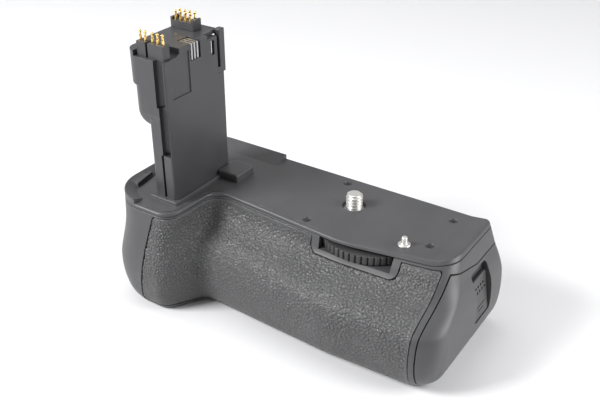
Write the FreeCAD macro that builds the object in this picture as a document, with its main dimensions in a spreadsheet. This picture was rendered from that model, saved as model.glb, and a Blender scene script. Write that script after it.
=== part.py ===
"""Battery grip that screws under a camera, with its post, magazine and controls, in millimetres.

Seen from the front, +X points right, towards the magazine's end cap, +Y points back and +Z points up.
The origin is the mouth of the tripod socket in the foot, on the axis of the attachment screw.
"""
import FreeCAD, Part
import math
import os
from types import SimpleNamespace

import Sketcher

V = FreeCAD.Vector
UP = V(0, 0, 1)
BACK = V(0, 1, 0)
RIGHT = V(1, 0, 0)
FAR = 150.0  # how far a cutting block reaches past the body

# Driving dimensions. Each name is an alias in the sheet, and its note says what it measures.
SIZES = [
    # The moulded body
    ("back_y", 17.6, "flat back of the body, behind the screw's axis"),
    ("nose_left_radius", 15.5, "left corner of the nose, in plan"),
    ("nose_right_radius", 7.0, "right corner of the nose, in plan"),
    ("valley_radius", 6.0, "hollow between nose and handle, in plan"),
    ("front_bend_radius", 40.0, "gentle bend in the handle's front, in plan"),
    ("front_bend_x", 9.1, "middle of that bend"),
    ("front_corner_radius", 10.0, "front corner at the end cap, in plan"),
    ("back_corner_radius", 3.0, "back corner at the end cap, in plan"),
    ("back_left_radius", 12.0, "back corner at the left end, in plan"),
    ("seam", 0.2, "open seam round a moulding that is let into another"),
    ("running", 0.05, "radial clearance of a turning or sliding fit"),
    ("free", 0.3, "clearance between pieces that move past each other"),
    ("past", 1.0, "how far a cutter runs past the face that it cuts"),
    ("sunk", 0.5, "how deep things that stand on the deck begin inside it"),
    # The top cover
    ("rim_rise", 1.8, "height of the rim over the deck"),
    ("rim_edge", 0.6, "flat width along the rim's top"),
    ("rim_width", 4.8, "width of the rim round the left end"),
    ("rim_corner_x", -70.0, "how far the rim follows the nose's corner"),
    ("rim_foot_y", 9.6, "foot of the back rim's slope"),
    ("rim_end_x", -43.0, "where the back rim ends"),
    ("ramp_rise", 1.0, "how much the deck rises before the end cap"),
    ("collar_rise", 1.2, "collar round the post's foot"),
    ("collar_width", 1.5, "collar round the post's foot"),
    ("block_right_x", -47.0, "right side of the raised block beside the post"),
    ("block_front_y", -11.0, "front of the raised block"),
    ("block_back_y", 0.3, "back of the raised block"),
    ("block_rise", 3.2, "height of the raised block"),
    ("block_bevel", 0.8, "bevel round the top of the raised block"),
    ("bar_front_x", -78.5, "front end of the door holder's raised bar"),
    ("bar_front_y", -34.7, "front end of the raised bar"),
    ("bar_back_x", -80.4, "back end of the raised bar"),
    ("bar_back_y", -24.1, "back end of the raised bar"),
    ("bar_width", 1.6, "width of the raised bar"),
    ("bar_rise", 1.5, "height of the raised bar"),
    # The rubber on the handle
    ("rubber_depth", 1.4, "least depth of the rubber, measured in plan"),
    ("rubber_low_left_x", -65.1, "left edge of the front rubber at its lower edge"),
    ("rubber_top_left_x", -60.1, "left edge of the front rubber at its upper edge"),
    ("rubber_low_z", 2.5, "lower edge of the front rubber"),
    ("rubber_back_y", -8.0, "how far back the rubber is let in"),
    ("rubber_corner", 1.5, "corners of the front rubber"),
    ("bezel_left_x", -3.9, "left edge of the bare panel round the window"),
    ("bezel_right_x", 31.5, "right edge of the bare panel"),
    ("bezel_radius", 2.5, "lower corners of the bare panel"),
    # The window of the lock wheel
    ("window_left_x", -0.4, "left edge of the window"),
    ("window_right_x", 28.4, "right edge of the window"),
    # The lock wheel, its gears and the attachment screw
    ("wheel_x", 12.1, "axis of the lock wheel"),
    ("wheel_y", -6.3, "axis of the lock wheel"),
    ("wheel_radius", 19.6, "over the wheel's ribs"),
    ("wheel_thick", 3.2, "thickness of the wheel"),
    ("wheel_ribs", 54, "ribs round the wheel"),
    ("rib_depth", 0.7, "depth of the grooves between the ribs"),
    ("rib_gap", 0.9, "width of the grooves between the ribs"),
    ("spindle_radius", 2.0, "fixed spindle of the wheel"),
    ("gear_teeth", 16, "teeth on each of the two equal gears"),
    ("wheel_gear_thick", 1.0, "gear on top of the wheel"),
    ("screw_gear_thick", 0.75, "gear on the attachment screw"),
    ("addendum", 0.6, "gear tooth outside the pitch circle"),
    ("dedendum", 0.8, "gear tooth inside the pitch circle"),
    ("tooth_foot", 0.56, "width of a gear tooth at its foot, as a share of the pitch"),
    ("tooth_crest", 0.26, "width of a gear tooth at its crest, as a share of the pitch"),
    ("screw_radius", 3.175, "quarter-inch attachment screw"),
    ("screw_rise", 5.2, "screw above the deck"),
    ("screw_hole_radius", 4.2, "hole in the cover that the screw's collar turns in"),
    # The guide pin
    ("guide_x", 28.4, "guide pin"),
    ("guide_y", -13.9, "guide pin"),
    ("guide_radius", 1.15, "stub of the guide pin"),
    ("guide_rise", 3.4, "guide pin above the deck"),
    ("guide_flange_radius", 2.7, "flange of the guide pin"),
    ("guide_flange_rise", 0.8, "flange of the guide pin"),
    # The battery post
    ("post_right_x", -57.0, "broad face of the post"),
    ("post_left_x", -75.6, "left face of the post"),
    ("post_front_y", -36.4, "front of the post"),
    ("post_back_y", -3.3, "back of the post"),
    ("post_corner_radius", 5.0, "upright corner at the front left of the post"),
    ("post_back_radius", 3.2, "upright corner at the back left of the post"),
    ("post_edge_radius", 1.5, "other upright corners of the post"),
    ("leg_x", -66.8, "left side of the slim front leg"),
    ("leg_y", -22.0, "where the slim front leg meets the full body"),
    ("shoe_bevel", 2.6, "bevel under the broad upper part"),
    ("waist", 1.5, "how much narrower the broad part is below its shoulder"),
    ("shelf_back_y", -28.0, "back of that shelf"),
    ("shelf_radius", 2.0, "hollow between the shelf and the top"),
    ("plate_thick", 1.3, "side plate of the post"),
    ("plate_edge_radius", 0.6, "upright corners of the side plate"),
    ("panel_depth", 0.4, "sunk panel in the side plate"),
    ("panel_front_y", -33.0, "front of the sunk panel"),
    ("panel_back_y", -23.0, "back of the sunk panel"),
    ("groove_left_x", -62.1, "left side of the upper groove in the post's front"),
    ("groove_right_x", -57.8, "right side of that groove"),
    ("groove_step", 0.9, "how far the groove steps to the right at its middle"),
    ("groove_depth", 2.4, "depth of the grooves"),
    ("slim_groove_left_x", -62.2, "left side of the slim groove"),
    ("slim_groove_right_x", -60.8, "right side of the slim groove"),
    ("slit_front_y", -10.4, "slit in the side plate"),
    ("slit_back_y", -8.6, "slit in the side plate"),
    ("niche_left_x", -68.0, "niche behind the slit, open to the back"),
    ("niche_front_y", -12.5, "niche behind the slit"),
    ("clip_left_x", -59.6, "left side of the rear clip"),
    ("clip_front_y", -5.4, "front of the clip's finger"),
    ("clip_back_y", -2.3, "back of the rear clip"),
    ("clip_slot_y", -7.0, "front of the slot"),
    ("clip_bevel", 0.8, "bevel round the top of the clip"),
    # Terminals folded over the top of the post
    ("terminal_front_y", -22.2, "sunk field of the terminals"),
    ("terminal_back_y", -16.5, "sunk field of the terminals"),
    ("terminal_fold", 6.0, "how far the terminals lie over the top"),
    ("terminal_sink", 0.8, "depth of the field"),
    ("terminal_thick", 0.5, "thickness of a terminal"),
    ("terminal_gap", 0.45, "gap between terminals"),
    # Contacts
    ("pin_radius", 0.55, "gold contact pin"),
    ("pin_pitch", 2.4, "distance between contact pins"),
    ("pin_tail", 1.4, "end of a front pin above the shelf"),
    ("front_contact_left_x", -70.6, "left end of the front housings"),
    ("front_contact_split_x", -66.4, "right end of the left housing"),
    ("front_contact_start_x", -65.4, "left end of the right housing"),
    ("front_contact_front_y", -35.0, "front of the front housings"),
    ("front_contact_back_y", -31.5, "back of the front housings"),
    ("front_housing_rise", 5.4, "front housings over their shelf"),
    ("front_pin_rise", 3.8, "front pins over their housings"),
    ("front_pin_left_x", -69.9, "first front pin"),
    ("front_pin_right_x", -59.4, "last front pin"),
    ("rear_contact_x", -69.6, "middle of the rear contacts"),
    ("rear_contact_y", -9.2, "middle of the rear contacts"),
    ("rear_housing_length", 10.8, "rear contact housing"),
    ("rear_housing_width", 4.8, "rear contact housing"),
    ("rear_housing_rise", 3.0, "rear contact housing between its ends"),
    ("rear_end_rise", 4.0, "ends of the rear contact housing"),
    ("rear_end_thick", 1.0, "ends of the rear contact housing"),
    ("rear_pin_rise", 6.6, "rear pins over the post's top"),
    ("rear_pin_tail", 0.2, "lower end of a rear pin above the post's top"),
    ("rear_well_depth", 1.1, "well under the rear pins"),
    # The magazine
    ("pack_length", 56.0, "battery pack"),
    ("pack_width", 38.4, "battery pack"),
    ("pack_height", 21.0, "battery pack"),
    ("tray_wall", 1.1, "walls of the tray"),
    ("tray_left_x", -65.6, "inner end of the tray"),
    ("tray_back_y", 14.9, "back of the tray"),
    ("tray_low_z", 6.6, "underside of the tray"),
    ("cap_grip", 2.0, "how far the tray reaches past the mouth into the end cap"),
    ("cap_rise_y", -1.0, "where that seam begins to climb towards the front"),
    ("cap_front_y", -20.0, "where that climb ends"),
    ("cap_bend_radius", 9.0, "bends in that seam"),
    ("contact_block_width", 16.0, "contacts at the inner end of the chamber"),
    ("contact_block_height", 10.0, "contacts at the inner end of the chamber"),
    ("contact_block_depth", 2.4, "contacts at the inner end of the chamber"),
    ("contact_plate_thick", 0.6, "contacts let into the tray's inner end"),
    # The latch on the end cap
    ("latch_middle_y", -1.2, "middle of the latch"),
    ("latch_width", 12.4, "width of the latch"),
    ("latch_length", 16.4, "length of the latch"),
    ("latch_thick", 1.4, "thickness of the latch"),
    ("latch_travel", 3.4, "how far the latch slides"),
    ("latch_low_z", 14.2, "lower end of the latch"),
    ("latch_tilt", 9.6, "lean of the latch, in degrees"),
    ("latch_bevel", 1.0, "corners of the latch"),
    ("tongue_width", 6.0, "tongue that guides the latch in the end cap"),
    ("tongue_low_z", 22.0, "underside of the tongue"),
    ("tongue_root", 2.2, "how deep the tongue begins behind the foot of the latch's face"),
    ("tongue_thick", 0.8, "thickness of the tongue"),
    # Tripod socket in the foot
    ("socket_radius", 2.6, "wall of the tripod socket"),
    ("socket_depth", 5.0, "depth of the tripod socket"),
    ("socket_insert_radius", 6.5, "metal insert of the socket"),
    ("socket_top", 0.5, "metal over the end of the socket"),
    # Shutter button and main dial, low on the left end
    ("facet_z", 9.0, "height of the shutter button and the dial"),
    ("shutter_y", -28.5, "shutter button"),
    ("shutter_radius", 5.4, "shutter button"),
    ("shutter_proud", 1.2, "shutter button over the end's face"),
    ("shutter_length", 3.6, "shutter button"),
    ("shutter_travel", 1.0, "shutter button"),
    ("shutter_collar_width", 1.1, "collar round the shutter button"),
    ("shutter_collar_proud", 0.4, "collar over the end's face"),
    ("shutter_collar_length", 2.0, "how deep the collar begins inside the end's face"),
    ("dial_y", -15.0, "middle of the main dial"),
    ("dial_radius", 6.4, "main dial"),
    ("dial_width", 6.0, "main dial"),
    ("dial_proud", 2.0, "main dial over the end's face"),
    ("dial_ribs", 18, "ribs round the main dial"),
    ("dial_rib_gap", 0.8, "grooves between the dial's ribs"),
    ("dial_rib_depth", 0.5, "grooves between the dial's ribs"),
    ("dial_spindle_radius", 1.2, "spindle of the main dial"),
    # The back
    ("rear_thick", 2.4, "rear cover"),
    ("rear_left_x", -70.0, "left edge of the rear cover"),
    ("rear_low_z", 3.5, "lower edge of the rear cover"),
    ("rear_radius", 3.0, "corners of the rear cover"),
    ("thumb_first_x", -63.5, "left thumb button"),
    ("thumb_pitch", 9.5, "distance between thumb buttons"),
    ("thumb_z", 11.0, "height of the thumb buttons"),
    ("thumb_radius", 3.4, "thumb button"),
    ("thumb_rise", 0.9, "thumb button over the cover"),
    ("thumb_travel", 0.5, "thumb button"),
    ("thumb_flange", 1.0, "width of the square flange that keeps a thumb button in"),
    ("thumb_flange_thick", 0.5, "flange of a thumb button"),
    ("rest_left_x", -66.0, "rubber thumb rest"),
    ("rest_right_x", -34.0, "rubber thumb rest"),
    ("rest_radius", 5.0, "corners of the thumb rest"),
    ("rest_sink", 0.8, "how deep the thumb rest is let in"),
    ("rest_rise", 1.2, "thumb rest over the cover"),
    ("lever_x", -24.0, "power switch"),
    ("lever_z", 11.0, "power switch"),
    ("lever_radius", 4.4, "disc of the power switch"),
    ("lever_thick", 1.2, "disc of the power switch"),
    ("lever_reach", 7.0, "thumb piece of the power switch, from its pivot"),
    ("lever_rise", 1.0, "thumb piece over the disc"),
    ("lever_width", 2.6, "thumb piece of the power switch"),
    ("pivot_radius", 1.5, "pivot of the power switch"),
    ("key_reach", 2.4, "key that keeps the pivot in, from its middle"),
    ("key_width", 1.8, "key that keeps the pivot in"),
    ("key_thick", 0.6, "key that keeps the pivot in"),
    # The circuit board under the cover
    ("board_left_x", -53.0, "circuit board"),
    ("board_right_x", -24.0, "circuit board"),
    ("board_front_y", -13.0, "circuit board"),
    ("board_back_y", 11.0, "circuit board"),
    ("board_thick", 1.2, "circuit board"),
    ("chip_rise", 1.4, "chips on the circuit board"),
]

# Heights measured up from the deck
FROM_DECK = [
    ("cover_z", -1.4, "underside of the top cover"),
    ("rubber_top_z", -2.3, "upper edge of the front rubber"),
    ("bezel_low_z", -8.1, "lower edge of the bare panel"),
    ("window_low_z", -6.3, "sill of the window"),
    ("wheel_low_z", -5.9, "underside of the wheel"),
    ("screw_collar_z", -0.8, "top of the screw's collar"),
    ("post_low_z", -8.0, "foot of the post, in the shell"),
    ("post_top_z", 59.0, "top of the post"),
    ("shoe_z", 28.4, "underside of the broad upper part"),
    ("shoulder_z", 45.0, "shoulder at the left of the broad part"),
    ("shelf_z", 56.0, "shelf under the front contacts"),
    ("panel_low_z", 41.0, "foot of the sunk panel"),
    ("panel_top_z", 56.9, "top of the sunk panel"),
    ("groove_step_z", 38.0, "where the upper groove steps to the right"),
    ("groove_low_z", 19.0, "where that groove ends and the slim one begins"),
    ("slit_low_z", 51.0, "foot of the slit"),
    ("slit_top_z", 56.5, "top of the slit"),
    ("niche_low_z", 43.5, "niche behind the slit"),
    ("niche_top_z", 57.5, "niche behind the slit"),
    ("clip_low_z", 42.6, "lower end of the rear clip"),
    ("clip_slot_z", 45.0, "foot of the slot that frees the clip"),
    ("clip_top_z", 59.5, "top of the rear clip"),
    ("terminal_low_z", 52.4, "foot of the terminals"),
    ("cap_top_z", -7.0, "upper seam of the end cap"),
    ("cap_front_top_z", -3.0, "upper seam of the end cap at the front"),
    ("rear_top_z", -4.0, "upper edge of the rear cover"),
    ("rest_low_z", -24.5, "rubber thumb rest"),
    ("rest_top_z", -6.0, "rubber thumb rest"),
    ("board_z", -8.0, "underside of the circuit board"),
]

# Places measured from the chamber's mouth, towards the right end
FROM_MOUTH = [
    ("ramp_x", -6.7, "where the deck begins to rise towards the right end"),
    ("rubber_right_x", -2.2, "right edge of the front rubber"),
    ("latch_foot_x", 7.3, "outer face of the latch at its foot"),
    ("tongue_x", 2.9, "tip of the latch's tongue"),
    ("rear_right_x", -2.7, "right edge of the rear cover"),
]

# The body's lines: one row for each height, with the plan's stations at that height.
# The right end's station is measured from the chamber's mouth.
STATIONS = ("height", "left", "nose", "nose_side", "valley", "valley_deep", "front", "corner", "right")
LINES = {
    "foot": (0.0, -79.3, -48.3, -54.8, -45.6, -33.0, -35.2, -33.2, 2.3),
    "hip": (11.0, -81.7, -51.8, -54.0, -45.0, -37.0, -41.2, -40.4, 7.2),
    "belly": (19.5, -82.4, -51.6, -53.2, -45.6, -35.8, -41.6, -41.0, 7.7),
    "chest": (26.4, -81.4, -50.3, -52.9, -47.5, -32.4, -39.5, -38.8, 7.1),
    "neck": (33.8, -81.6, -48.0, -52.5, -49.9, -23.2, -26.4, -25.1, 3.9),
    "deck": (42.0, -83.6, -45.4, -52.2, -50.8, -19.4, -24.4, -15.6, 0.3),
}


class Measure:
    """A length as a number, together with the expression in the sheet's names that gives it."""

    def __init__(self, number, words):
        self.number = number
        self.words = words

    def __float__(self):
        return float(self.number)

    def __add__(self, other):
        return Measure(self.number + float(other), f"({self.words} + {words_of(other)})")

    def __radd__(self, other):
        return self + other

    def __sub__(self, other):
        return Measure(self.number - float(other), f"({self.words} - {words_of(other)})")

    def __rsub__(self, other):
        return self * -1 + other

    def __mul__(self, other):
        return Measure(self.number * float(other), f"({self.words} * {words_of(other)})")

    def __rmul__(self, other):
        return self * other

    def __truediv__(self, other):
        return Measure(self.number / float(other), f"({self.words} / {words_of(other)})")

    def __neg__(self):
        return self * -1


def words_of(length):
    """The expression for a named length or for a plain number."""
    return length.words if isinstance(length, Measure) else f"({float(length)})"


doc = FreeCAD.newDocument("battery_grip")
sheet = doc.addObject("Spreadsheet::Sheet", "Sizes")
size = SimpleNamespace()


def write_size(name, value, note, datum=None):
    """Put one named size in the sheet, and keep it as measured from its datum."""
    row = len(vars(size)) + 1
    sheet.set(f"A{row}", note)
    sheet.set(f"B{row}", str(value))
    sheet.setAlias(f"B{row}", name)
    length = Measure(value, f"Sizes.{name}")
    setattr(size, name, length if datum is None else datum + length)


for name, value, note in SIZES:
    write_size(name, value, note)
for level, values in LINES.items():
    for station, value in zip(STATIONS, values):
        write_size(f"{level}_{station}", value, f"{station} of the body at the {level}")
for name, value, note in FROM_DECK:
    write_size(name, value, f"{note}, from the deck", size.deck_height)
tray_right_x = size.tray_left_x + size.tray_wall * 3 + size.pack_length * 2
mouth_x = tray_right_x - size.cap_grip
for name, value, note in FROM_MOUTH:
    write_size(name, value, f"{note}, from the mouth", mouth_x)
doc.recompute()


# Solids from primitives and booleans


def place(thing, x=0, y=0, z=0):
    """Bind a thing's place to named sizes."""
    for axis, length in zip("xyz", (x, y, z)):
        thing.setExpression(f"Placement.Base.{axis}", words_of(length))
    return thing


def block(name, x, y, z):
    """A box between a low and a high limit on each axis."""
    solid = doc.addObject("Part::Box", name)
    for side, (low, high) in zip(("Length", "Width", "Height"), (x, y, z)):
        solid.setExpression(side, f"{words_of(high)} - {words_of(low)}")
    return place(solid, x[0], y[0], z[0])


def rod(name, radius, start, length, axis=UP):
    """A cylinder from a point along an axis."""
    solid = doc.addObject("Part::Cylinder", name)
    solid.setExpression("Radius", words_of(radius))
    solid.setExpression("Height", words_of(length))
    solid.Placement.Rotation = FreeCAD.Rotation(UP, axis)
    return place(solid, *start)


def cut(name, base, *tools):
    """A solid less each of its tools in turn."""
    for i, tool in enumerate(tools, start=1):
        result = doc.addObject("Part::Cut", name if i == len(tools) else f"{name}_step_{i}")
        result.Base = base
        result.Tool = tool
        base = result
    return base


def fuse(name, *solids):
    """Several solids as one."""
    result = doc.addObject("Part::MultiFuse", name)
    result.Shapes = list(solids)
    return result


def common(name, *solids):
    """What several solids share."""
    result = doc.addObject("Part::MultiCommon", name)
    result.Shapes = list(solids)
    return result


def group(name, *solids):
    """Separate solids kept together."""
    result = doc.addObject("Part::Compound", name)
    result.Links = list(solids)
    return result


def feature(name, shape):
    """A shape that is worked out here from the sheet's values."""
    result = doc.addObject("Part::Feature", name)
    result.Shape = shape
    return result


def bevel(name, base, width, chosen):
    """Bevel the edges of a solid whose middle points pass a test."""
    doc.recompute([base])
    result = doc.addObject("Part::Chamfer", name)
    result.Base = base
    picked = [i for i, edge in enumerate(base.Shape.Edges, start=1) if chosen(middle_of(edge))]
    result.Edges = [(i, float(width), float(width)) for i in picked]
    return result


def middle_of(edge):
    """The point half way along an edge."""
    return edge.valueAt((edge.FirstParameter + edge.LastParameter) / 2)


def near(number, length):
    """Whether a number is a length, within a thousandth."""
    return abs(number - float(length)) < 1e-3


# Outlines with rounded corners, and slabs made of them


SMALL_CORNER = 4.0  # a corner up to this radius has two chords, and a larger one four


def rounded_outline(corners, inset=0.0, flats=None):
    """A closed wire through corners (x, y, radius), anticlockwise, rounded with chords where there is a radius.

    An inset moves every side inwards by that much and keeps the rounded corners concentric.
    Flats gives the number of chords at each corner that is not to have the usual two or four.
    """
    count = len(corners)
    points = [V(float(x), float(y), 0) for x, y, _ in corners]
    runs = [(points[(i + 1) % count] - points[i]).normalize() for i in range(count)]
    arcs = []
    for i, (_, _, radius) in enumerate(corners):
        before, after = runs[i - 1], runs[i]
        sides = V(-before.y - after.y, before.x + after.x, 0)
        corner = points[i] + sides * (inset / (1 + before.dot(after)))
        turn = math.atan2(before.cross(after).z, before.dot(after))
        if not float(radius):
            arcs.append((corner, None, corner))
            continue
        radius = max(float(radius) - math.copysign(inset, turn), 0.2)
        reach = radius * math.tan(abs(turn) / 2)
        middle = corner + (after - before).normalize() * (radius / math.cos(turn / 2) - radius)
        arcs.append((corner - before * reach, middle, corner + after * reach))
    edges = []
    for i, (start, middle, end) in enumerate(arcs):
        if middle:
            few = 4 if float(corners[i][2]) > SMALL_CORNER else 2
            chords = flats[i] if flats else few
            edges += Part.makePolygon(Part.Arc(start, middle, end).toShape().discretize(chords + 1)).Edges
        if end.distanceToPoint(arcs[(i + 1) % count][0]) > 1e-6:
            edges.append(Part.LineSegment(end, arcs[(i + 1) % count][0]).toShape())
    return Part.Wire(edges)


FACING = {
    "up": (FreeCAD.Rotation(), UP, "z"),
    "back": (FreeCAD.Rotation(RIGHT, 90), BACK, "y"),
    "right": (FreeCAD.Rotation(V(1, 1, 1), 120), RIGHT, "x"),
}


def slab(name, wire, low, high, facing="up"):
    """A flat outline made solid between two planes that face up, back or right."""
    rotation, direction, axis = FACING[facing]
    outline = feature(f"{name}_outline", wire)
    outline.Placement = FreeCAD.Placement(V(), rotation)
    outline.setExpression(f"Placement.Base.{axis}", words_of(low))
    solid = doc.addObject("Part::Extrusion", name)
    solid.Base = outline
    solid.DirMode = "Custom"
    solid.Dir = direction
    solid.Solid = True
    solid.setExpression("LengthFwd", f"{words_of(high)} - {words_of(low)}")
    return solid


def rectangle(x, y, radius=0.0):
    """Corners of a rectangle between two limits each way, for an outline."""
    (left, right), (low, high) = x, y
    return [(left, low, radius), (right, low, radius), (right, high, radius), (left, high, radius)]


# Sketched solids


def origin_plane(body, role):
    """One of a body's own origin planes."""
    return next(plane for plane in body.Origin.OriginFeatures if plane.Role == role)


def sketch_on(body, name, plane="XY_Plane"):
    """An empty sketch on one of a body's own planes."""
    sketch = body.newObject("Sketcher::SketchObject", name)
    sketch.AttachmentSupport = [(origin_plane(body, plane), "")]
    sketch.MapMode = "FlatFace"
    return sketch


def draw_outline(sketch, outline):
    """Draw a closed polygon whose every corner is bound to a pair of lengths."""
    points = [V(float(x), float(y), 0) for x, y in outline]
    count = len(points)
    for i in range(count):
        sketch.addGeometry(Part.LineSegment(points[i], points[(i + 1) % count]), False)
    for i in range(count):
        sketch.addConstraint(Sketcher.Constraint("Coincident", i, 2, (i + 1) % count, 1))
    for i, (x, y) in enumerate(outline):
        for kind, length in (("DistanceX", x), ("DistanceY", y)):
            index = sketch.addConstraint(Sketcher.Constraint(kind, -1, 1, i, 1, float(length)))
            sketch.setExpression(f"Constraints[{index}]", words_of(length))


def draw_circle(sketch, radius):
    """Draw a circle round the sketch's origin with a bound radius."""
    index = sketch.addGeometry(Part.Circle(V(), UP, float(radius)), False)
    sketch.addConstraint(Sketcher.Constraint("Coincident", index, 3, -1, 1))
    number = sketch.addConstraint(Sketcher.Constraint("Radius", index, float(radius)))
    sketch.setExpression(f"Constraints[{number}]", words_of(radius))


def prism(name, plane, outline, low, high):
    """A polygon of lengths, sketched in a plane and padded between two heights along the third axis."""
    body = doc.addObject("PartDesign::Body", name)
    sketch = sketch_on(body, f"{name}_outline", plane)
    offset = -high if plane == "XZ_Plane" else low
    sketch.setExpression("AttachmentOffset.Base.z", words_of(offset))
    draw_outline(sketch, outline)
    pad = body.newObject("PartDesign::Pad", f"{name}_pad")
    pad.Profile = sketch
    pad.setExpression("Length", f"{words_of(high)} - {words_of(low)}")
    body.Tip = pad
    return body


def ribbed_wheel(name, radius, width, bore, ribs, gap, depth):
    """A wheel with a bore and grooves round its rim, about its own axis."""
    body = doc.addObject("PartDesign::Body", name)
    disc = sketch_on(body, f"{name}_disc")
    draw_circle(disc, radius)
    draw_circle(disc, bore)
    pad = body.newObject("PartDesign::Pad", f"{name}_pad")
    pad.Profile = disc
    pad.setExpression("Length", words_of(width))
    doc.recompute()
    groove = sketch_on(body, f"{name}_groove")
    outer = radius + depth
    draw_outline(groove, [(radius - depth, 0), (outer, -gap), (outer, gap)])
    pocket = body.newObject("PartDesign::Pocket", f"{name}_pocket")
    pocket.Profile = groove
    pocket.Type = "ThroughAll"
    pocket.Reversed = True
    doc.recompute()
    pattern = body.newObject("PartDesign::PolarPattern", f"{name}_ribs")
    pattern.Originals = [pocket]
    pattern.Axis = (groove, ["N_Axis"])
    pattern.Angle = 360
    pattern.setExpression("Occurrences", words_of(ribs))
    body.Tip = pattern
    doc.recompute()
    if pattern.Shape.Volume >= pad.Shape.Volume:
        raise ValueError(f"{name}: the grooves cut nothing")
    return body


nodes = []


def node(thing, label):
    """Name a finished sub-part."""
    thing.Label = label
    nodes.append(thing)
    return thing


# The moulded form that the covers, the shell, the rubber and the end cap are cut from


CORNER_FLATS = (5, 6, 5, 4, 1, 5, 2)  # chords round each corner of the plan


def body_plan(level, inset=0.0):
    """The body's plan at one height."""
    at = {station: getattr(size, f"{level}_{station}") for station in STATIONS}
    right_x = mouth_x + at["right"]
    wire = rounded_outline(
        [
            (at["left"], size.back_y, size.back_left_radius),
            (at["left"], at["nose"], size.nose_left_radius),
            (at["nose_side"], at["nose"], size.nose_right_radius),
            (at["valley"], at["valley_deep"], size.valley_radius),
            (size.front_bend_x, at["front"], size.front_bend_radius),
            (right_x, at["corner"], size.front_corner_radius),
            (right_x, size.back_y, size.back_corner_radius),
        ],
        float(inset),
        CORNER_FLATS,
    )
    wire.translate(V(0, 0, float(at["height"])))
    return wire


def body_form(name, levels, inset=0.0):
    """The body's form, lofted from the foot to the deck through some of its levels."""
    loft = doc.addObject("Part::Loft", name)
    loft.Sections = [feature(f"{name}_{level}", body_plan(level, inset)) for level in levels]
    loft.Solid = True
    loft.Ruled = True
    return loft


form = body_form("form", LINES)
core = body_form("core", ("foot", "chest", "neck", "deck"), size.rubber_depth)
EVERY = (-FAR, FAR)
deck_z = size.deck_height
sunk = deck_z - size.sunk


# Top cover

waist_x = size.post_left_x + size.waist


def post_corners():
    """Corners of the post where it passes the deck."""
    edge = size.post_edge_radius
    return [
        (size.post_right_x, size.post_front_y, size.plate_edge_radius),
        (size.post_right_x, size.post_back_y, size.plate_edge_radius),
        (waist_x, size.post_back_y, size.post_back_radius),
        (waist_x, size.leg_y, edge),
        (size.leg_x, size.leg_y, 0),
        (size.leg_x, size.post_front_y, edge),
    ]


def post_footprint(grow):
    """Outline of the post where it passes the deck, grown all round."""
    return rounded_outline(post_corners(), -float(grow))


def cover_rim():
    """Rim that slopes up to the outline along the back and round the left end."""
    top = deck_z + size.rim_rise
    outline = body_plan("deck")
    outline.translate(V(0, 0, -float(deck_z)))
    blank = slab("rim_blank", outline, sunk, top)
    slope = [(size.rim_foot_y, sunk), (FAR, sunk), (FAR, top), (size.back_y - size.rim_edge, top),
             (size.rim_foot_y, deck_z)]
    behind = prism("rim_behind", "YZ_Plane", slope, -FAR, size.rim_end_x)
    dish = doc.addObject("Part::Loft", "rim_dish")
    upper = body_plan("deck", size.rim_edge)
    upper.translate(V(0, 0, float(size.rim_rise)))
    dish.Sections = [feature("rim_dish_foot", body_plan("deck", size.rim_width)), feature("rim_dish_top", upper)]
    dish.Solid = True
    dish.Ruled = True
    end = block("rim_end", (-FAR, size.rim_corner_x), EVERY, (sunk, top))
    return common("rim", blank, fuse("rim_parts", behind, cut("rim_left", end, dish)))


def deck_bar():
    """Raised bar that keeps the camera's battery door."""
    half = size.bar_width / 2
    outline = [
        (size.bar_front_x - half, size.bar_front_y),
        (size.bar_front_x + half, size.bar_front_y),
        (size.bar_back_x + half, size.bar_back_y),
        (size.bar_back_x - half, size.bar_back_y),
    ]
    return prism("deck_bar", "XY_Plane", outline, sunk, deck_z + size.bar_rise)


def top_cover():
    """Deck with its rim, ramp, collar, block and bar, and its holes."""
    plate = common("cover_plate", form, block("cover_zone", EVERY, EVERY, (size.cover_z, FAR)))
    ramp_outline = [(size.ramp_x, sunk), (FAR, sunk), (FAR, deck_z + size.ramp_rise),
                    (mouth_x + size.deck_right, deck_z + size.ramp_rise), (size.ramp_x, deck_z)]
    deck_outline = body_plan("deck")
    deck_outline.translate(V(0, 0, -float(deck_z)))
    ramp = common("ramp", slab("ramp_blank", deck_outline, sunk, deck_z + size.ramp_rise * 2),
                  prism("ramp_slope", "XZ_Plane", ramp_outline, -FAR, FAR))
    collar = slab("post_collar", post_footprint(size.collar_width), sunk, deck_z + size.collar_rise)
    raised = block("raised_block", (size.post_right_x, size.block_right_x),
                   (size.block_front_y, size.block_back_y), (sunk, deck_z + size.block_rise))
    top = deck_z + size.block_rise
    raised = bevel("raised_block_bevelled", raised, size.block_bevel,
                    lambda p: near(p.z, top) and not near(p.x, size.post_right_x))
    cover = fuse("cover_raised", plate, cover_rim(), ramp, collar, raised, deck_bar())
    low = size.cover_z - size.past
    return cut("top_cover", cover, slab("cover_post_hole", post_footprint(size.running), low, FAR),
               rod("cover_screw_hole", size.screw_hole_radius, (0, 0, low), deck_z + size.past - low))


# Lock wheel, gears and attachment screw

wheel_top_z = size.wheel_low_z + size.wheel_thick
screw_gear_z = wheel_top_z + size.free
screw_collar_radius = size.screw_hole_radius - size.running


def pitch_radius():
    """Half the distance between the two axes, because the gears are equal."""
    return math.hypot(float(size.wheel_x), float(size.wheel_y)) / 2


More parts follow.
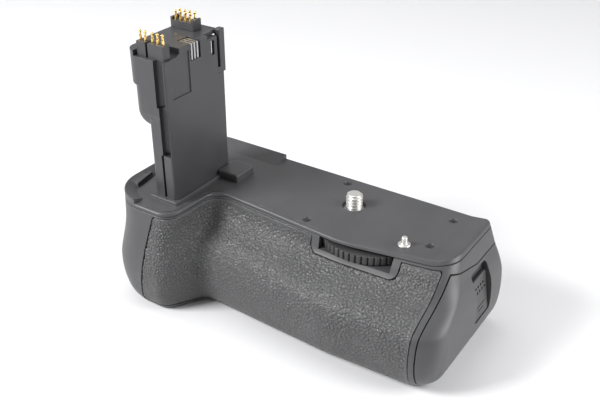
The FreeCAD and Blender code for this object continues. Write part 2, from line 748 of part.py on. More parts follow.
def gear_outline(toward, offset):
    """A spur gear's outline about its own axis, with a tooth, or a gap, on the line to its mate."""
    teeth = int(float(size.gear_teeth))
    pitch = 2 * math.pi / teeth
    root, tip = pitch_radius() - float(size.dedendum), pitch_radius() + float(size.addendum)
    foot, crest = float(size.tooth_foot) / 2, float(size.tooth_crest) / 2
    flank = ((root, -foot), (tip, -crest), (tip, crest), (root, foot))
    points = []
    for tooth in range(teeth):
        for radius, part in flank:
            angle = toward + (tooth + offset + part) * pitch
            points.append(V(radius * math.cos(angle), radius * math.sin(angle), 0))
    return Part.makePolygon(points + points[:1])


def gear(name, x, y, z, thick, bore, toward, offset):
    """A spur gear with a bore."""
    outline = gear_outline(toward, offset)
    blank = slab(f"{name}_blank", outline, z, z + thick)
    blank.Base.setExpression("Placement.Base.x", words_of(x))
    blank.Base.setExpression("Placement.Base.y", words_of(y))
    return cut(name, blank, rod(f"{name}_bore", bore, (x, y, z - size.past), thick + size.past * 2))


def lock_wheel():
    """Ribbed wheel that a finger turns through the window."""
    wheel = ribbed_wheel("lock_wheel", size.wheel_radius, size.wheel_thick, size.spindle_radius + size.running,
                         size.wheel_ribs, size.rib_gap, size.rib_depth)
    return place(wheel, size.wheel_x, size.wheel_y, size.wheel_low_z)


def wheel_gear():
    """Gear on top of the lock wheel."""
    toward = math.atan2(-float(size.wheel_y), -float(size.wheel_x))
    return gear("wheel_gear", size.wheel_x, size.wheel_y, wheel_top_z, size.wheel_gear_thick,
                size.spindle_radius + size.running, toward, 0)


def screw_gear():
    """Gear that turns the attachment screw."""
    toward = math.atan2(float(size.wheel_y), float(size.wheel_x))
    return gear("screw_gear", 0, 0, screw_gear_z, size.screw_gear_thick, screw_collar_radius, toward, 0.5)


def attachment_screw():
    """Screw with a collar that carries its gear and turns in the cover."""
    top = deck_z + size.screw_rise
    collar = rod("screw_collar", screw_collar_radius, (0, 0, screw_gear_z), size.screw_collar_z - screw_gear_z)
    shank = rod("screw_shank", size.screw_radius, (0, 0, screw_gear_z), top - screw_gear_z)
    return fuse("attachment_screw", collar, shank)


def wheel_spindle():
    """Fixed spindle that the lock wheel turns on, from the shell to the cover."""
    return rod("wheel_spindle", size.spindle_radius, (size.wheel_x, size.wheel_y, size.window_low_z),
               size.cover_z - size.window_low_z)


def guide_pin():
    """Locating pin that enters the camera's base."""
    place_xy = (size.guide_x, size.guide_y)
    flange = rod("guide_flange", size.guide_flange_radius, (*place_xy, deck_z), size.guide_flange_rise)
    stub = rod("guide_stub", size.guide_radius, (*place_xy, deck_z), size.guide_rise)
    return fuse("guide_pin", flange, stub)


# Front rubber


def rubber_zone(name, grow):
    """Where the front rubber lies, seen from the front, with its notch for the bare panel."""
    corner = size.rubber_corner
    outline = rounded_outline(
        [
            (size.rubber_low_left_x, size.rubber_low_z, corner),
            (size.rubber_right_x, size.rubber_low_z, corner),
            (size.rubber_right_x, size.rubber_top_z, corner),
            (size.bezel_right_x, size.rubber_top_z, 0),
            (size.bezel_right_x, size.bezel_low_z, size.bezel_radius),
            (size.bezel_left_x, size.bezel_low_z, size.bezel_radius),
            (size.bezel_left_x, size.rubber_top_z, 0),
            (size.rubber_top_left_x, size.rubber_top_z, corner),
        ],
        -float(grow),
    )
    return slab(name, outline, -FAR, size.rubber_back_y, "back")


def front_rubber():
    """Moulded rubber skin round the handle and the nose's side."""
    return cut("front_rubber", common("rubber_blank", form, rubber_zone("rubber_zone", 0)), core)


# The battery post

core_right_x = size.post_right_x - size.plate_thick


def post_cuts():
    """What is cut from both the post's core and its side plate."""
    front = size.post_front_y
    return [
        block("groove", (size.groove_left_x, size.groove_right_x), (front - size.past, front + size.groove_depth),
              (size.groove_step_z, size.shelf_z + size.past)),
        block("lower_groove", (size.groove_left_x + size.groove_step, size.groove_right_x + size.groove_step / 2),
              (front - size.past, front + size.groove_depth), (size.groove_low_z, size.groove_step_z)),
        block("slim_groove", (size.slim_groove_left_x, size.slim_groove_right_x),
              (front - size.past, front + size.groove_depth / 2), (deck_z + size.collar_rise, size.groove_low_z)),
        block("clip_notch", (size.clip_left_x, FAR), (size.clip_slot_y, FAR), (size.clip_low_z, FAR)),
        block("terminal_side", (size.post_right_x - size.terminal_sink, FAR),
              (size.terminal_front_y, size.terminal_back_y), (size.terminal_low_z, FAR)),
        block("terminal_top", (size.post_right_x - size.terminal_fold, FAR),
              (size.terminal_front_y, size.terminal_back_y), (size.post_top_z - size.terminal_sink, FAR)),
    ]


def post_core(cuts):
    """The post's moulded core: a slim front leg, and a broad upper part on a rounded shoe."""
    edge = size.post_edge_radius
    lower = rounded_outline([
        (core_right_x, size.post_front_y, 0),
        (core_right_x, size.post_back_y, 0),
        (waist_x, size.post_back_y, size.post_back_radius),
        (waist_x, size.leg_y, edge),
        (size.leg_x, size.leg_y, 0),
        (size.leg_x, size.post_front_y, edge),
    ])
    waist, upper = [rounded_outline([
        (core_right_x, size.post_front_y, 0),
        (core_right_x, size.post_back_y, 0),
        (left_x, size.post_back_y, size.post_back_radius),
        (left_x, size.post_front_y, size.post_corner_radius),
    ]) for left_x in (waist_x, size.post_left_x)]
    leg = slab("post_leg", lower, size.post_low_z, size.shoe_z + size.shoe_bevel * 2)
    head = slab("post_head", upper, size.shoulder_z, size.post_top_z)
    broad = slab("post_broad", waist, size.shoe_z, size.shoulder_z + size.past)
    broad = bevel("post_shoe", broad, size.shoe_bevel,
                   lambda p: near(p.z, size.shoe_z) and not near(p.x, core_right_x))
    shelf = slab("shelf_room", rounded_outline([
        (-FAR, size.shelf_z, 0),
        (size.shelf_back_y, size.shelf_z, size.shelf_radius),
        (size.shelf_back_y, FAR, 0),
        (-FAR, FAR, 0),
    ]), -FAR, core_right_x + size.past, "right")
    niche = block("niche", (size.niche_left_x, core_right_x + size.past), (size.niche_front_y, FAR),
                  (size.niche_low_z, size.niche_top_z))
    x, y = rear_pin_field(size.pin_radius + size.running)
    well = block("rear_well", x, y, (size.post_top_z - size.rear_well_depth, FAR))
    return cut("post_core", fuse("post_blank", leg, broad, head), shelf, niche, well, *cuts)


def post_side_plate(cuts):
    """Broad right face of the post, with its sunk panel and slit."""
    outline = rounded_outline([
        (core_right_x, size.post_front_y, 0),
        (size.post_right_x, size.post_front_y, size.plate_edge_radius),
        (size.post_right_x, size.post_back_y, size.plate_edge_radius),
        (core_right_x, size.post_back_y, 0),
    ])
    plate = slab("plate_blank", outline, size.post_low_z, size.post_top_z)
    panel = block("plate_panel", (size.post_right_x - size.panel_depth, FAR),
                  (size.panel_front_y, size.panel_back_y), (size.panel_low_z, size.panel_top_z))
    slit = block("plate_slit", (core_right_x - size.past, FAR), (size.slit_front_y, size.slit_back_y),
                 (size.slit_low_z, size.slit_top_z))
    return cut("post_side_plate", plate, panel, slit, *cuts)


def rear_clip():
    """Springy finger at the post's back edge."""
    finger = block("clip_finger", (size.clip_left_x, size.post_right_x), (size.clip_front_y, size.clip_back_y),
                   (size.clip_low_z, size.clip_top_z))
    foot = block("clip_foot", (size.clip_left_x, size.post_right_x), (size.clip_slot_y, size.clip_back_y),
                 (size.clip_low_z, size.clip_slot_z))
    finger = bevel("clip_finger_bevelled", finger, size.clip_bevel, lambda p: near(p.z, size.clip_top_z))
    return fuse("rear_clip", finger, foot)


def terminal_strips():
    """Three terminals let into the post's face and folded over its top."""
    field = size.terminal_back_y - size.terminal_front_y
    width = (field - size.terminal_gap * 4) / 3
    face = size.post_right_x - size.terminal_sink
    top = size.post_top_z - size.terminal_sink
    strips = []
    for i in range(3):
        y = size.terminal_front_y + size.terminal_gap + (width + size.terminal_gap) * i
        upright = block(f"terminal_{i}_upright", (face, face + size.terminal_thick), (y, y + width),
                        (size.terminal_low_z, top + size.terminal_thick))
        fold = block(f"terminal_{i}_fold", (size.post_right_x - size.terminal_fold, face + size.terminal_thick),
                     (y, y + width), (top, top + size.terminal_thick))
        strips.append(fuse(f"terminal_{i}", upright, fold))
    return group("terminal_strips", *strips)


# Contacts on the post


def front_pin_places():
    """Where the five front pins stand, two in the left housing and three in the right one."""
    y = (size.front_contact_front_y + size.front_contact_back_y) / 2
    left, right = size.front_pin_left_x, size.front_pin_right_x
    pitch = size.pin_pitch
    return [(x, y) for x in (left, left + pitch, right - pitch * 2, right - pitch, right)]


def rear_pin_places():
    """Where the eight rear pins stand, in two rows of four."""
    return [
        (size.rear_contact_x + size.pin_pitch * across, size.rear_contact_y + size.pin_pitch * along)
        for along in (-0.5, 0.5)
        for across in (-1.5, -0.5, 0.5, 1.5)
    ]


def rear_pin_field(margin):
    """Limits in x and y of the rear pins with a margin round them."""
    half_x, half_y = size.pin_pitch * 1.5 + margin, size.pin_pitch * 0.5 + margin
    return (
        (size.rear_contact_x - half_x, size.rear_contact_x + half_x),
        (size.rear_contact_y - half_y, size.rear_contact_y + half_y),
    )


def eight_sided(name, radius, x, y, low, high):
    """An upright bar of eight sides, as wide across its flats as a rod of the radius."""
    corner = float(radius) / math.cos(math.pi / 8)
    points = [V(corner * math.cos(math.pi * (i + 0.5) / 4), corner * math.sin(math.pi * (i + 0.5) / 4), 0)
              for i in range(8)]
    solid = slab(name, Part.makePolygon(points + points[:1]), low, high)
    solid.Base.setExpression("Placement.Base.x", words_of(x))
    solid.Base.setExpression("Placement.Base.y", words_of(y))
    return solid


def pins(name, places, low, high):
    """Contact pins, with eight sides to keep their number light."""
    return group(name, *[
        eight_sided(f"{name}_{i}", size.pin_radius, x, y, low, high) for i, (x, y) in enumerate(places, start=1)
    ])


def pin_channels(name, places, low):
    """Square channels that the pins slide in."""
    half = size.pin_radius + size.running
    return [
        block(f"{name}_{i}", (x - half, x + half), (y - half, y + half), (low, FAR))
        for i, (x, y) in enumerate(places, start=1)
    ]


def front_contact_housings():
    """Two insulating housings on the shelf at the front of the post."""
    y = (size.front_contact_front_y, size.front_contact_back_y)
    z = (size.shelf_z, size.shelf_z + size.front_housing_rise)
    left = block("front_housing_left", (size.front_contact_left_x, size.front_contact_split_x), y, z)
    right = block("front_housing_right", (size.front_contact_start_x, core_right_x), y, z)
    channels = pin_channels("front_channel", front_pin_places(), size.shelf_z - size.past)
    return group("front_contact_housings", cut("front_housing_2", left, *channels[:2]),
                 cut("front_housing_3", right, *channels[2:]))


def rear_contact_housing():
    """Insulating housing on top of the post, with upstanding ends."""
    half_length, half_width = size.rear_housing_length / 2, size.rear_housing_width / 2
    x = (size.rear_contact_x - half_length, size.rear_contact_x + half_length)
    y = (size.rear_contact_y - half_width, size.rear_contact_y + half_width)
    base = block("rear_housing_base", x, y, (size.post_top_z, size.post_top_z + size.rear_housing_rise))
    ends = [
        block(f"rear_housing_{side}", limits, y, (size.post_top_z, size.post_top_z + size.rear_end_rise))
        for side, limits in (("left", (x[0], x[0] + size.rear_end_thick)),
                             ("right", (x[1] - size.rear_end_thick, x[1])))
    ]
    channels = pin_channels("rear_channel", rear_pin_places(), size.post_top_z - size.past)
    return cut("rear_contact_housing", fuse("rear_housing_blank", base, *ends), *channels)


# The magazine

tray_front_y = size.tray_back_y - size.tray_wall * 2 - size.pack_width
tray_top_z = size.tray_low_z + size.tray_wall + size.pack_height
chamber_left_x = size.tray_left_x - size.free
chamber_middle_y = (tray_front_y + size.tray_back_y) / 2
contact_low_z = size.tray_low_z + size.tray_wall + (size.pack_height - size.contact_block_height) / 2


def pack_place(index):
    """Left side of a battery pack in the tray."""
    return size.tray_left_x + size.tray_wall * (index + 1) + size.pack_length * index


def battery(name, index):
    """One battery pack."""
    x = pack_place(index)
    y = size.tray_back_y - size.tray_wall
    low = size.tray_low_z + size.tray_wall
    return block(name, (x, x + size.pack_length), (y - size.pack_width, y), (low, low + size.pack_height))


def magazine_tray():
    """Open tray with a pocket for each battery pack."""
    tray = block("tray_blank", (size.tray_left_x, tray_right_x), (tray_front_y, size.tray_back_y),
                 (size.tray_low_z, tray_top_z))
    y = (tray_front_y + size.tray_wall, size.tray_back_y - size.tray_wall)
    z = (size.tray_low_z + size.tray_wall, FAR)
    pockets = [
        block(f"tray_pocket_{i}", (pack_place(i), pack_place(i) + size.pack_length), y, z) for i in range(2)
    ]
    seat = block("tray_contact_seat", (-FAR, size.tray_left_x + size.contact_plate_thick), *contact_limits())
    return cut("magazine_tray", tray, *pockets, seat)


def contact_limits():
    """Limits across and upwards of the contacts at the inner end."""
    half = size.contact_block_width / 2
    across = (chamber_middle_y - half, chamber_middle_y + half)
    return across, (contact_low_z, contact_low_z + size.contact_block_height)


def tray_contacts():
    """Contact plate let into the tray's inner end."""
    return block("tray_contacts", (size.tray_left_x, size.tray_left_x + size.contact_plate_thick),
                 *contact_limits())


def chamber_contacts():
    """Contact block let into the inner end of the chamber."""
    return block("chamber_contacts", (chamber_left_x - size.contact_block_depth, chamber_left_x),
                 *contact_limits())


def cap_zone(name, left_x, grow):
    """What the end cap takes of the body's right end."""
    outline = rounded_outline(
        [
            (-FAR, -size.past, 0),
            (FAR, -size.past, 0),
            (FAR, size.cap_top_z, 0),
            (size.cap_rise_y, size.cap_top_z, size.cap_bend_radius),
            (size.cap_front_y, size.cap_front_top_z, size.cap_bend_radius),
            (-FAR, size.cap_front_top_z, 0),
        ],
        -float(grow),
    )
    return slab(name, outline, left_x, FAR, "right")


# The latch lies in a frame that leans with the end cap: outwards, across and up along the cap's face.


def lean(outwards, across, along):
    """A point of the latch's frame."""
    tilt = math.radians(float(size.latch_tilt))
    return V(
        float(size.latch_foot_x + outwards * math.cos(tilt) - along * math.sin(tilt)),
        float(size.latch_middle_y + across),
        float(size.latch_low_z + outwards * math.sin(tilt) + along * math.cos(tilt)),
    )


def leaning_block(name, outwards, across, along):
    """A box in the latch's frame."""
    solid = doc.addObject("Part::Box", name)
    for side, (low, high) in zip(("Length", "Width", "Height"), (outwards, across, along)):
        solid.setExpression(side, f"{words_of(high)} - {words_of(low)}")
    rotation = FreeCAD.Rotation(BACK, -float(size.latch_tilt))
    solid.Placement = FreeCAD.Placement(lean(outwards[0], across[0], along[0]), rotation)
    return solid


def tongue_limits(grow_x, grow_y, low, high):
    """Limits of the latch's tongue, or of its slot."""
    half = size.tongue_width / 2 + grow_y
    return (
        (size.tongue_x - grow_x, size.latch_foot_x - size.tongue_root),
        (size.latch_middle_y - half, size.latch_middle_y + half),
        (size.tongue_low_z - low, size.tongue_low_z + size.tongue_thick + high),
    )


def end_cap():
    """Rounded right end of the body, which carries the latch and closes the chamber."""
    left_x = mouth_x + size.free
    cap = common("cap_blank", form, cap_zone("cap_zone", left_x, 0))
    tray_room = block("cap_tray_room", (left_x - size.past, tray_right_x), (tray_front_y, size.tray_back_y),
                      (size.tray_low_z, tray_top_z))
    half = size.latch_width / 2 + size.free
    recess = leaning_block("latch_recess", (-size.latch_thick - size.free, size.past * 4), (-half, half),
                           (-size.free, size.latch_length + size.latch_travel + size.free))
    slot = block("tongue_slot", *tongue_limits(size.free * 3, size.free, size.free, size.latch_travel + size.free))
    return cut("end_cap", cap, tray_room, recess, slot)


def magazine_latch():
    """Sliding latch with a tongue behind the cap's face."""
    half = size.latch_width / 2
    plate = leaning_block("latch_plate", (-size.latch_thick, 0), (-half, half), (0, size.latch_length))
    plate = bevel("latch_plate_bevelled", plate, size.latch_bevel, lambda p: any(
        (p - lean(-size.latch_thick / 2, side * half, along)).Length < 0.01
        for side in (-1, 1) for along in (0, size.latch_length)))
    return fuse("magazine_latch", plate, block("latch_tongue", *tongue_limits(0, 0, 0, 0)))


# Shutter button and main dial, square to the leaning face of the left end

face_rise = size.hip_height - size.foot_height
face_run = size.foot_left - size.hip_left
facet_x = size.foot_left - face_run * float((size.facet_z - size.foot_height) / face_rise)
face_lean = math.atan2(float(face_run), float(face_rise))
FACET = V(-math.cos(face_lean), 0, -math.sin(face_lean))  # out of the face


def facet_rod(name, radius, y, low, high):
    """A rod square to the end's face, between two heights over it."""
    start = (facet_x + low * FACET.x, y, size.facet_z + low * FACET.z)
    return rod(name, radius, start, high - low, FACET)


def shutter_button():
    """Round button."""
    top = size.shutter_proud
    return facet_rod("shutter_button", size.shutter_radius, size.shutter_y, top - size.shutter_length, top)


def shutter_collar():
    """Ring round the shutter button, moulded with the shell."""
    radius = size.shutter_radius + size.free + size.shutter_collar_width
    return facet_rod("shutter_collar", radius, size.shutter_y, -size.shutter_collar_length, size.shutter_collar_proud)


def shutter_well():
    """Bore for the shutter button and its travel."""
    depth = size.shutter_length - size.shutter_proud + size.shutter_travel + size.free
    radius = size.shutter_radius + size.free
    return facet_rod("shutter_well", radius, size.shutter_y, -depth, size.shutter_collar_proud + size.past)


def dial_point():
    """Axis of the main dial, inwards from the end's face."""
    depth = size.dial_proud - size.dial_radius
    return facet_x + depth * FACET.x, size.facet_z + depth * FACET.z


def main_dial():
    """Ribbed dial that shows through the end's face."""
    x, z = dial_point()
    dial = ribbed_wheel("main_dial", size.dial_radius, size.dial_width, size.dial_spindle_radius + size.running,
                        size.dial_ribs, size.dial_rib_gap, size.dial_rib_depth)
    dial.Placement.Rotation = FreeCAD.Rotation(UP, BACK)
    return place(dial, x, size.dial_y - size.dial_width / 2, z)


def dial_rod(name, radius):
    """A rod on the dial's axis, across the dial and the clearance at both its sides."""
    x, z = dial_point()
    length = size.dial_width + size.free * 2
    return rod(name, radius, (x, size.dial_y - length / 2, z), length, BACK)


# The back


def rear_zone(name, grow):
    """What the rear cover takes of the body's back."""
    corners = rectangle((size.rear_left_x, size.rear_right_x), (size.rear_low_z, size.rear_top_z), size.rear_radius)
    return slab(name, rounded_outline(corners, -float(grow)), size.back_y - size.rear_thick, FAR, "back")


def thumb_rest_zone(name, low, high, grow):
    """The thumb rest between two depths."""
    corners = rectangle((size.rest_left_x, size.rest_right_x), (size.rest_low_z, size.rest_top_z), size.rest_radius)
    return slab(name, rounded_outline(corners, -float(grow)), low, high, "back")


def thumb_rest():
    """Rubber rest for the thumb, let into the rear cover."""
    return thumb_rest_zone("thumb_rest", size.back_y - size.rest_sink, size.back_y + size.rest_rise, 0)


def thumb_x(index):
    """Place of a thumb button along the back."""
    return size.thumb_first_x + size.thumb_pitch * index


def thumb_rod(name, radius, index, low, high):
    """A rod on a thumb button's axis, between two depths from the back's face."""
    return rod(name, radius, (thumb_x(index), size.back_y + low, size.thumb_z), high - low, BACK)


flange_back = -size.rear_thick + size.thumb_travel + size.thumb_flange_thick + size.free


def thumb_flange(name, left, right, grow, low, high):
    """A block behind the thumb buttons from the left one's to the right one's flange, between two depths."""
    half = size.thumb_radius + size.thumb_flange + grow
    return block(name, (thumb_x(left) - half, thumb_x(right) + half), (size.back_y + low, size.back_y + high),
                 (size.thumb_z - half, size.thumb_z + half))


def thumb_button(name, index):
    """Round button with a square flange behind the rear cover."""
    low = flange_back - size.thumb_flange_thick
    button = thumb_rod(f"{name}_button", size.thumb_radius, index, flange_back - size.thumb_flange_thick / 2,
                       size.thumb_rise)
    return fuse(name, button, thumb_flange(f"{name}_flange", index, index, 0, low, flange_back))


def rear_cover():
    """Cover of the back, and back wall of the battery chamber."""
    corners = rectangle((size.rear_left_x, size.rear_right_x), (size.rear_low_z, size.rear_top_z), size.rear_radius)
    cover = slab("rear_blank", rounded_outline(corners), size.back_y - size.rear_thick, size.back_y, "back")
    behind, ahead = -size.rear_thick - size.past, size.past
    holes = [
        thumb_rest_zone("rest_room", size.back_y - size.rest_sink, FAR, size.running),
        thumb_flange("thumb_room", 0, 2, size.free, behind, flange_back + size.running),
    ]
    for i in range(3):
        holes.append(thumb_rod(f"thumb_bore_{i}", size.thumb_radius + size.free, i, behind, ahead))
    pivot = (size.lever_x, size.back_y + behind, size.lever_z)
    holes.append(rod("pivot_bore", size.pivot_radius + size.running, pivot, ahead - behind, BACK))
    half = size.key_reach + size.free * 2
    holes.append(block("key_room", (size.lever_x - half, size.lever_x + half),
                       (size.back_y + behind, size.back_y - size.rear_thick + size.key_thick + size.free * 2),
                       (size.lever_z - half, size.lever_z + half)))
    return cut("rear_cover", cover, *holes)


def power_switch():
    """Turning switch with a thumb piece, a pivot and a key that keeps the pivot in."""
    x, z = size.lever_x, size.lever_z
    low = size.back_y + size.free
    disc = rod("lever_disc", size.lever_radius, (x, low, z), size.lever_thick, BACK)
    half = size.lever_width / 2
    piece = block("lever_piece", (x, x + size.lever_reach), (low, low + size.lever_thick + size.lever_rise),
                  (z - half, z + half))
    key_low = size.back_y - size.rear_thick + size.free
    pivot = rod("lever_pivot", size.pivot_radius, (x, key_low, z), low - key_low + size.lever_thick / 2, BACK)
    half = size.key_width / 2
    key = block("lever_key", (x - size.key_reach, x + size.key_reach), (key_low, key_low + size.key_thick),
                (z - half, z + half))
    return fuse("power_switch", disc, piece, pivot, key)


# Tripod socket and circuit board

socket_top_z = size.socket_depth + size.socket_top


def hexagon(radius):
    """A six-sided outline round the screw's axis, as wide across its flats as a circle of the radius."""
    corner = float(radius) / math.cos(math.pi / 6)
    points = [V(corner * math.cos(math.pi * i / 3), corner * math.sin(math.pi * i / 3), 0) for i in range(6)]
    return Part.makePolygon(points + points[:1])


def socket_insert():
    """Six-sided metal insert with the tripod socket."""
    insert = slab("socket_blank", hexagon(size.socket_insert_radius), 0, socket_top_z)
    bore = rod("socket_bore", size.socket_radius, (0, 0, -size.past), size.socket_depth + size.past)
    return cut("tripod_socket", insert, bore)


CHIPS = ((4, 4, 8), (16, 6, 5), (6, 15, 6), (20, 15, 4))  # from the board's left and front sides, and side length


def circuit_board():
    """Board with its chips, under the top cover."""
    top = size.board_z + size.board_thick
    board = block("board_plate", (size.board_left_x, size.board_right_x), (size.board_front_y, size.board_back_y),
                  (size.board_z, top))
    chips = [
        block(f"chip_{i}", (size.board_left_x + x, size.board_left_x + x + side),
              (size.board_front_y + y, size.board_front_y + y + side), (size.board_z, top + size.chip_rise))
        for i, (x, y, side) in enumerate(CHIPS, start=1)
    ]
    return fuse("circuit_board", board, *chips)


# The main shell, with room for everything that it holds


def main_shell():
    """Moulded shell of the grip, open at the right end, the window and the back."""
    blank = common("shell_blank", form, block("shell_zone", EVERY, EVERY, (-size.past, size.cover_z)))
    blank = fuse("shell_with_collar", blank, shutter_collar())
    room_radius = size.wheel_radius + size.free + size.seam / 2
    wheel_at = (size.wheel_x, size.wheel_y)
    gear_half = pitch_radius() + size.addendum + size.free * 2
    square_corners = [(x, y, 0) for x, y, _ in post_corners()]
    rooms = [
        cap_zone("cap_room", mouth_x, size.free),
        block("chamber", (chamber_left_x, FAR), (tray_front_y - size.free, size.back_y - size.rear_thick),
              (size.tray_low_z - size.free, tray_top_z + size.free)),
        rear_zone("rear_room", size.seam / 2),
        cut("rubber_room", rubber_zone("rubber_zone_wide", size.seam), core),
        rod("wheel_room", room_radius, (*wheel_at, size.window_low_z), size.cover_z - size.window_low_z + size.past),
        block("gear_room", (-gear_half, gear_half), (-gear_half, gear_half), (screw_gear_z - size.free, FAR)),
        block("window", (size.window_left_x, size.window_right_x), (-FAR, size.wheel_y - size.wheel_radius / 2),
              (size.window_low_z, FAR)),
        slab("post_room", rounded_outline(square_corners, -float(size.seam / 2)), size.post_low_z, FAR),
        block("board_room", (size.board_left_x - size.free, size.board_right_x + size.free),
              (size.board_front_y - size.free, size.board_back_y + size.free), (size.board_z, FAR)),
        block("contact_room", (chamber_left_x - size.contact_block_depth, FAR), *contact_limits()),
        dial_rod("dial_room", size.dial_radius + size.free),
        shutter_well(),
        slab("socket_room", hexagon(size.socket_insert_radius), -size.past, socket_top_z),
    ]
    return cut("main_shell", blank, *rooms)


# Every sub-part, under its own name

node(main_shell(), "main_shell")
node(top_cover(), "top_cover")
node(front_rubber(), "front_rubber")
node(rear_cover(), "rear_cover")
node(thumb_rest(), "thumb_rest")
node(socket_insert(), "tripod_socket")
node(circuit_board(), "circuit_board")
node(chamber_contacts(), "chamber_contacts")
shared_cuts = post_cuts()
node(post_core(shared_cuts), "post_core")
node(post_side_plate(shared_cuts), "post_side_plate")
node(rear_clip(), "rear_clip")
node(terminal_strips(), "terminal_strips")
node(front_contact_housings(), "front_contact_housings")
node(rear_contact_housing(), "rear_contact_housing")
node(pins("front_contact_pins", front_pin_places(), size.shelf_z + size.pin_tail,
          size.shelf_z + size.front_housing_rise + size.front_pin_rise), "front_contact_pins")
node(pins("rear_contact_pins", rear_pin_places(), size.post_top_z + size.rear_pin_tail,
          size.post_top_z + size.rear_pin_rise), "rear_contact_pins")
node(wheel_spindle(), "wheel_spindle")
node(lock_wheel(), "lock_wheel")
node(wheel_gear(), "wheel_gear")
node(screw_gear(), "screw_gear")
node(attachment_screw(), "attachment_screw")
node(guide_pin(), "guide_pin")
node(magazine_tray(), "magazine_tray")
node(tray_contacts(), "tray_contacts")
node(battery("left_battery", 0), "left_battery")
node(battery("right_battery", 1), "right_battery")
node(end_cap(), "end_cap")
node(magazine_latch(), "magazine_latch")
node(shutter_button(), "shutter_button")
node(main_dial(), "main_dial")
node(dial_rod("dial_spindle", size.dial_spindle_radius), "dial_spindle")
for index, side in enumerate(("left", "middle", "right")):
    node(thumb_button(f"{side}_thumb_button", index), f"{side}_thumb_button")
node(power_switch(), "power_switch")

doc.recompute()
for thing in doc.Objects:
    if "Invalid" in thing.State or "Error" in thing.State:
        raise ValueError(f"{thing.Name} could not be built: {thing.State}")
for thing in nodes:
    if thing.Shape.isNull() or not thing.Shape.isValid() or not thing.Shape.Solids:
        raise ValueError(f"{thing.Label} has no sound shape")

os.makedirs("parts", exist_ok=True)
for thing in nodes:
    thing.Shape.exportStep(f"parts/{thing.Label}.step")
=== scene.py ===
"""Looks of the battery grip: smooth mouldings, leather rubber, fine metal parts and the studio round them.

Sizes are in millimetres in the working functions and in metres in Blender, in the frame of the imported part.
"""
import math

import bmesh
import bpy
from bpy.props import FloatProperty, FloatVectorProperty, IntProperty, PointerProperty
from bpy.types import Operator, Panel, PropertyGroup
from mathutils import Matrix, Vector, noise


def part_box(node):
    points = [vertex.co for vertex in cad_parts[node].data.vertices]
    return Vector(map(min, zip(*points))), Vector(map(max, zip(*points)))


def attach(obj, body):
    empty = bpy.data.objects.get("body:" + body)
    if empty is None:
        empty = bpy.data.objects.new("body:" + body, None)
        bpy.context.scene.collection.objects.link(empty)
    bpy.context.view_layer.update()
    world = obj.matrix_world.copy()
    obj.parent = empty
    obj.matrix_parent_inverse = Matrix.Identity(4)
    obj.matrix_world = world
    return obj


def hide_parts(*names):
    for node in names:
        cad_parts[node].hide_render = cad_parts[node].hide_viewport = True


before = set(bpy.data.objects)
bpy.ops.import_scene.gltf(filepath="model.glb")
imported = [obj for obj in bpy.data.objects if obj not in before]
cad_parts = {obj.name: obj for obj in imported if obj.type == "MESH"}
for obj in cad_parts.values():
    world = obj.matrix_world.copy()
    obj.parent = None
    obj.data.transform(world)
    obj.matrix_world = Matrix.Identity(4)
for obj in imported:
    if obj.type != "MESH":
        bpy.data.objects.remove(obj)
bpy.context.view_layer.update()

bl_info = {
    "name": "Battery grip dresser",
    "version": (1, 0, 0),
    "blender": (4, 5, 0),
    "location": "View3D > Sidebar > Grip",
    "description": "Dresses the packed battery grip with detailed pieces and materials",
    "category": "Object",
}

MM = 0.001
X = Vector((1, 0, 0))
Y = Vector((0, 1, 0))
Z = Vector((0, 0, 1))
# How far a cutter reaches that goes right through the part
FAR = 120.0
# Faces over this many square millimetres are shaded flat
LARGE_FACE = 12.0

# The body's plan at each height: left, nose, nose_side, valley, valley_deep, front, corner, right
BODY_LINES = (
    (0.0, (-79.3, -48.3, -54.8, -45.6, -33.0, -35.2, -33.2, 50.0)),
    (4.0, (-80.4, -50.6, -54.5, -45.4, -36.2, -39.0, -37.2, 52.8)),
    (8.0, (-81.3, -51.5, -54.2, -45.2, -37.0, -40.6, -39.4, 54.4)),
    (13.0, (-82.1, -51.9, -53.8, -45.1, -37.0, -41.5, -40.8, 55.2)),
    (19.0, (-82.4, -51.6, -53.2, -45.6, -35.8, -41.6, -41.0, 55.4)),
    (25.5, (-81.6, -50.4, -52.9, -47.3, -33.0, -40.0, -39.4, 54.9)),
    (28.6, (-81.3, -49.6, -52.8, -48.4, -29.8, -36.0, -34.6, 54.0)),
    (31.3, (-81.3, -48.8, -52.6, -49.4, -26.0, -30.0, -28.4, 52.9)),
    (34.5, (-81.7, -47.8, -52.5, -50.1, -22.6, -25.8, -24.2, 51.3)),
    (38.3, (-82.6, -46.6, -52.3, -50.6, -20.6, -24.7, -20.8, 49.8)),
    (42.0, (-83.6, -45.4, -52.2, -50.8, -19.4, -24.4, -15.6, 48.0)),
)
BACK_Y = 17.6
# Radii of the outline's corners, and the steps round each corner and along the run after it
CORNER_RADII = (12.0, 15.5, 7.0, 6.0, 40.0, 10.0, 3.0)
ARC_STEPS = (10, 14, 10, 9, 8, 12, 5)
SIDE_STEPS = (10, 2, 4, 12, 10, 10, 24)
FRONT_BEND_X = 9.1
DECK_Z = 42.0
COVER_Z = 40.6


# Outlines


def between(value, low, high):
    """A value's share of the way from low to high, kept within 0 and 1."""
    return max(0.0, min(1.0, (value - low) / (high - low)))


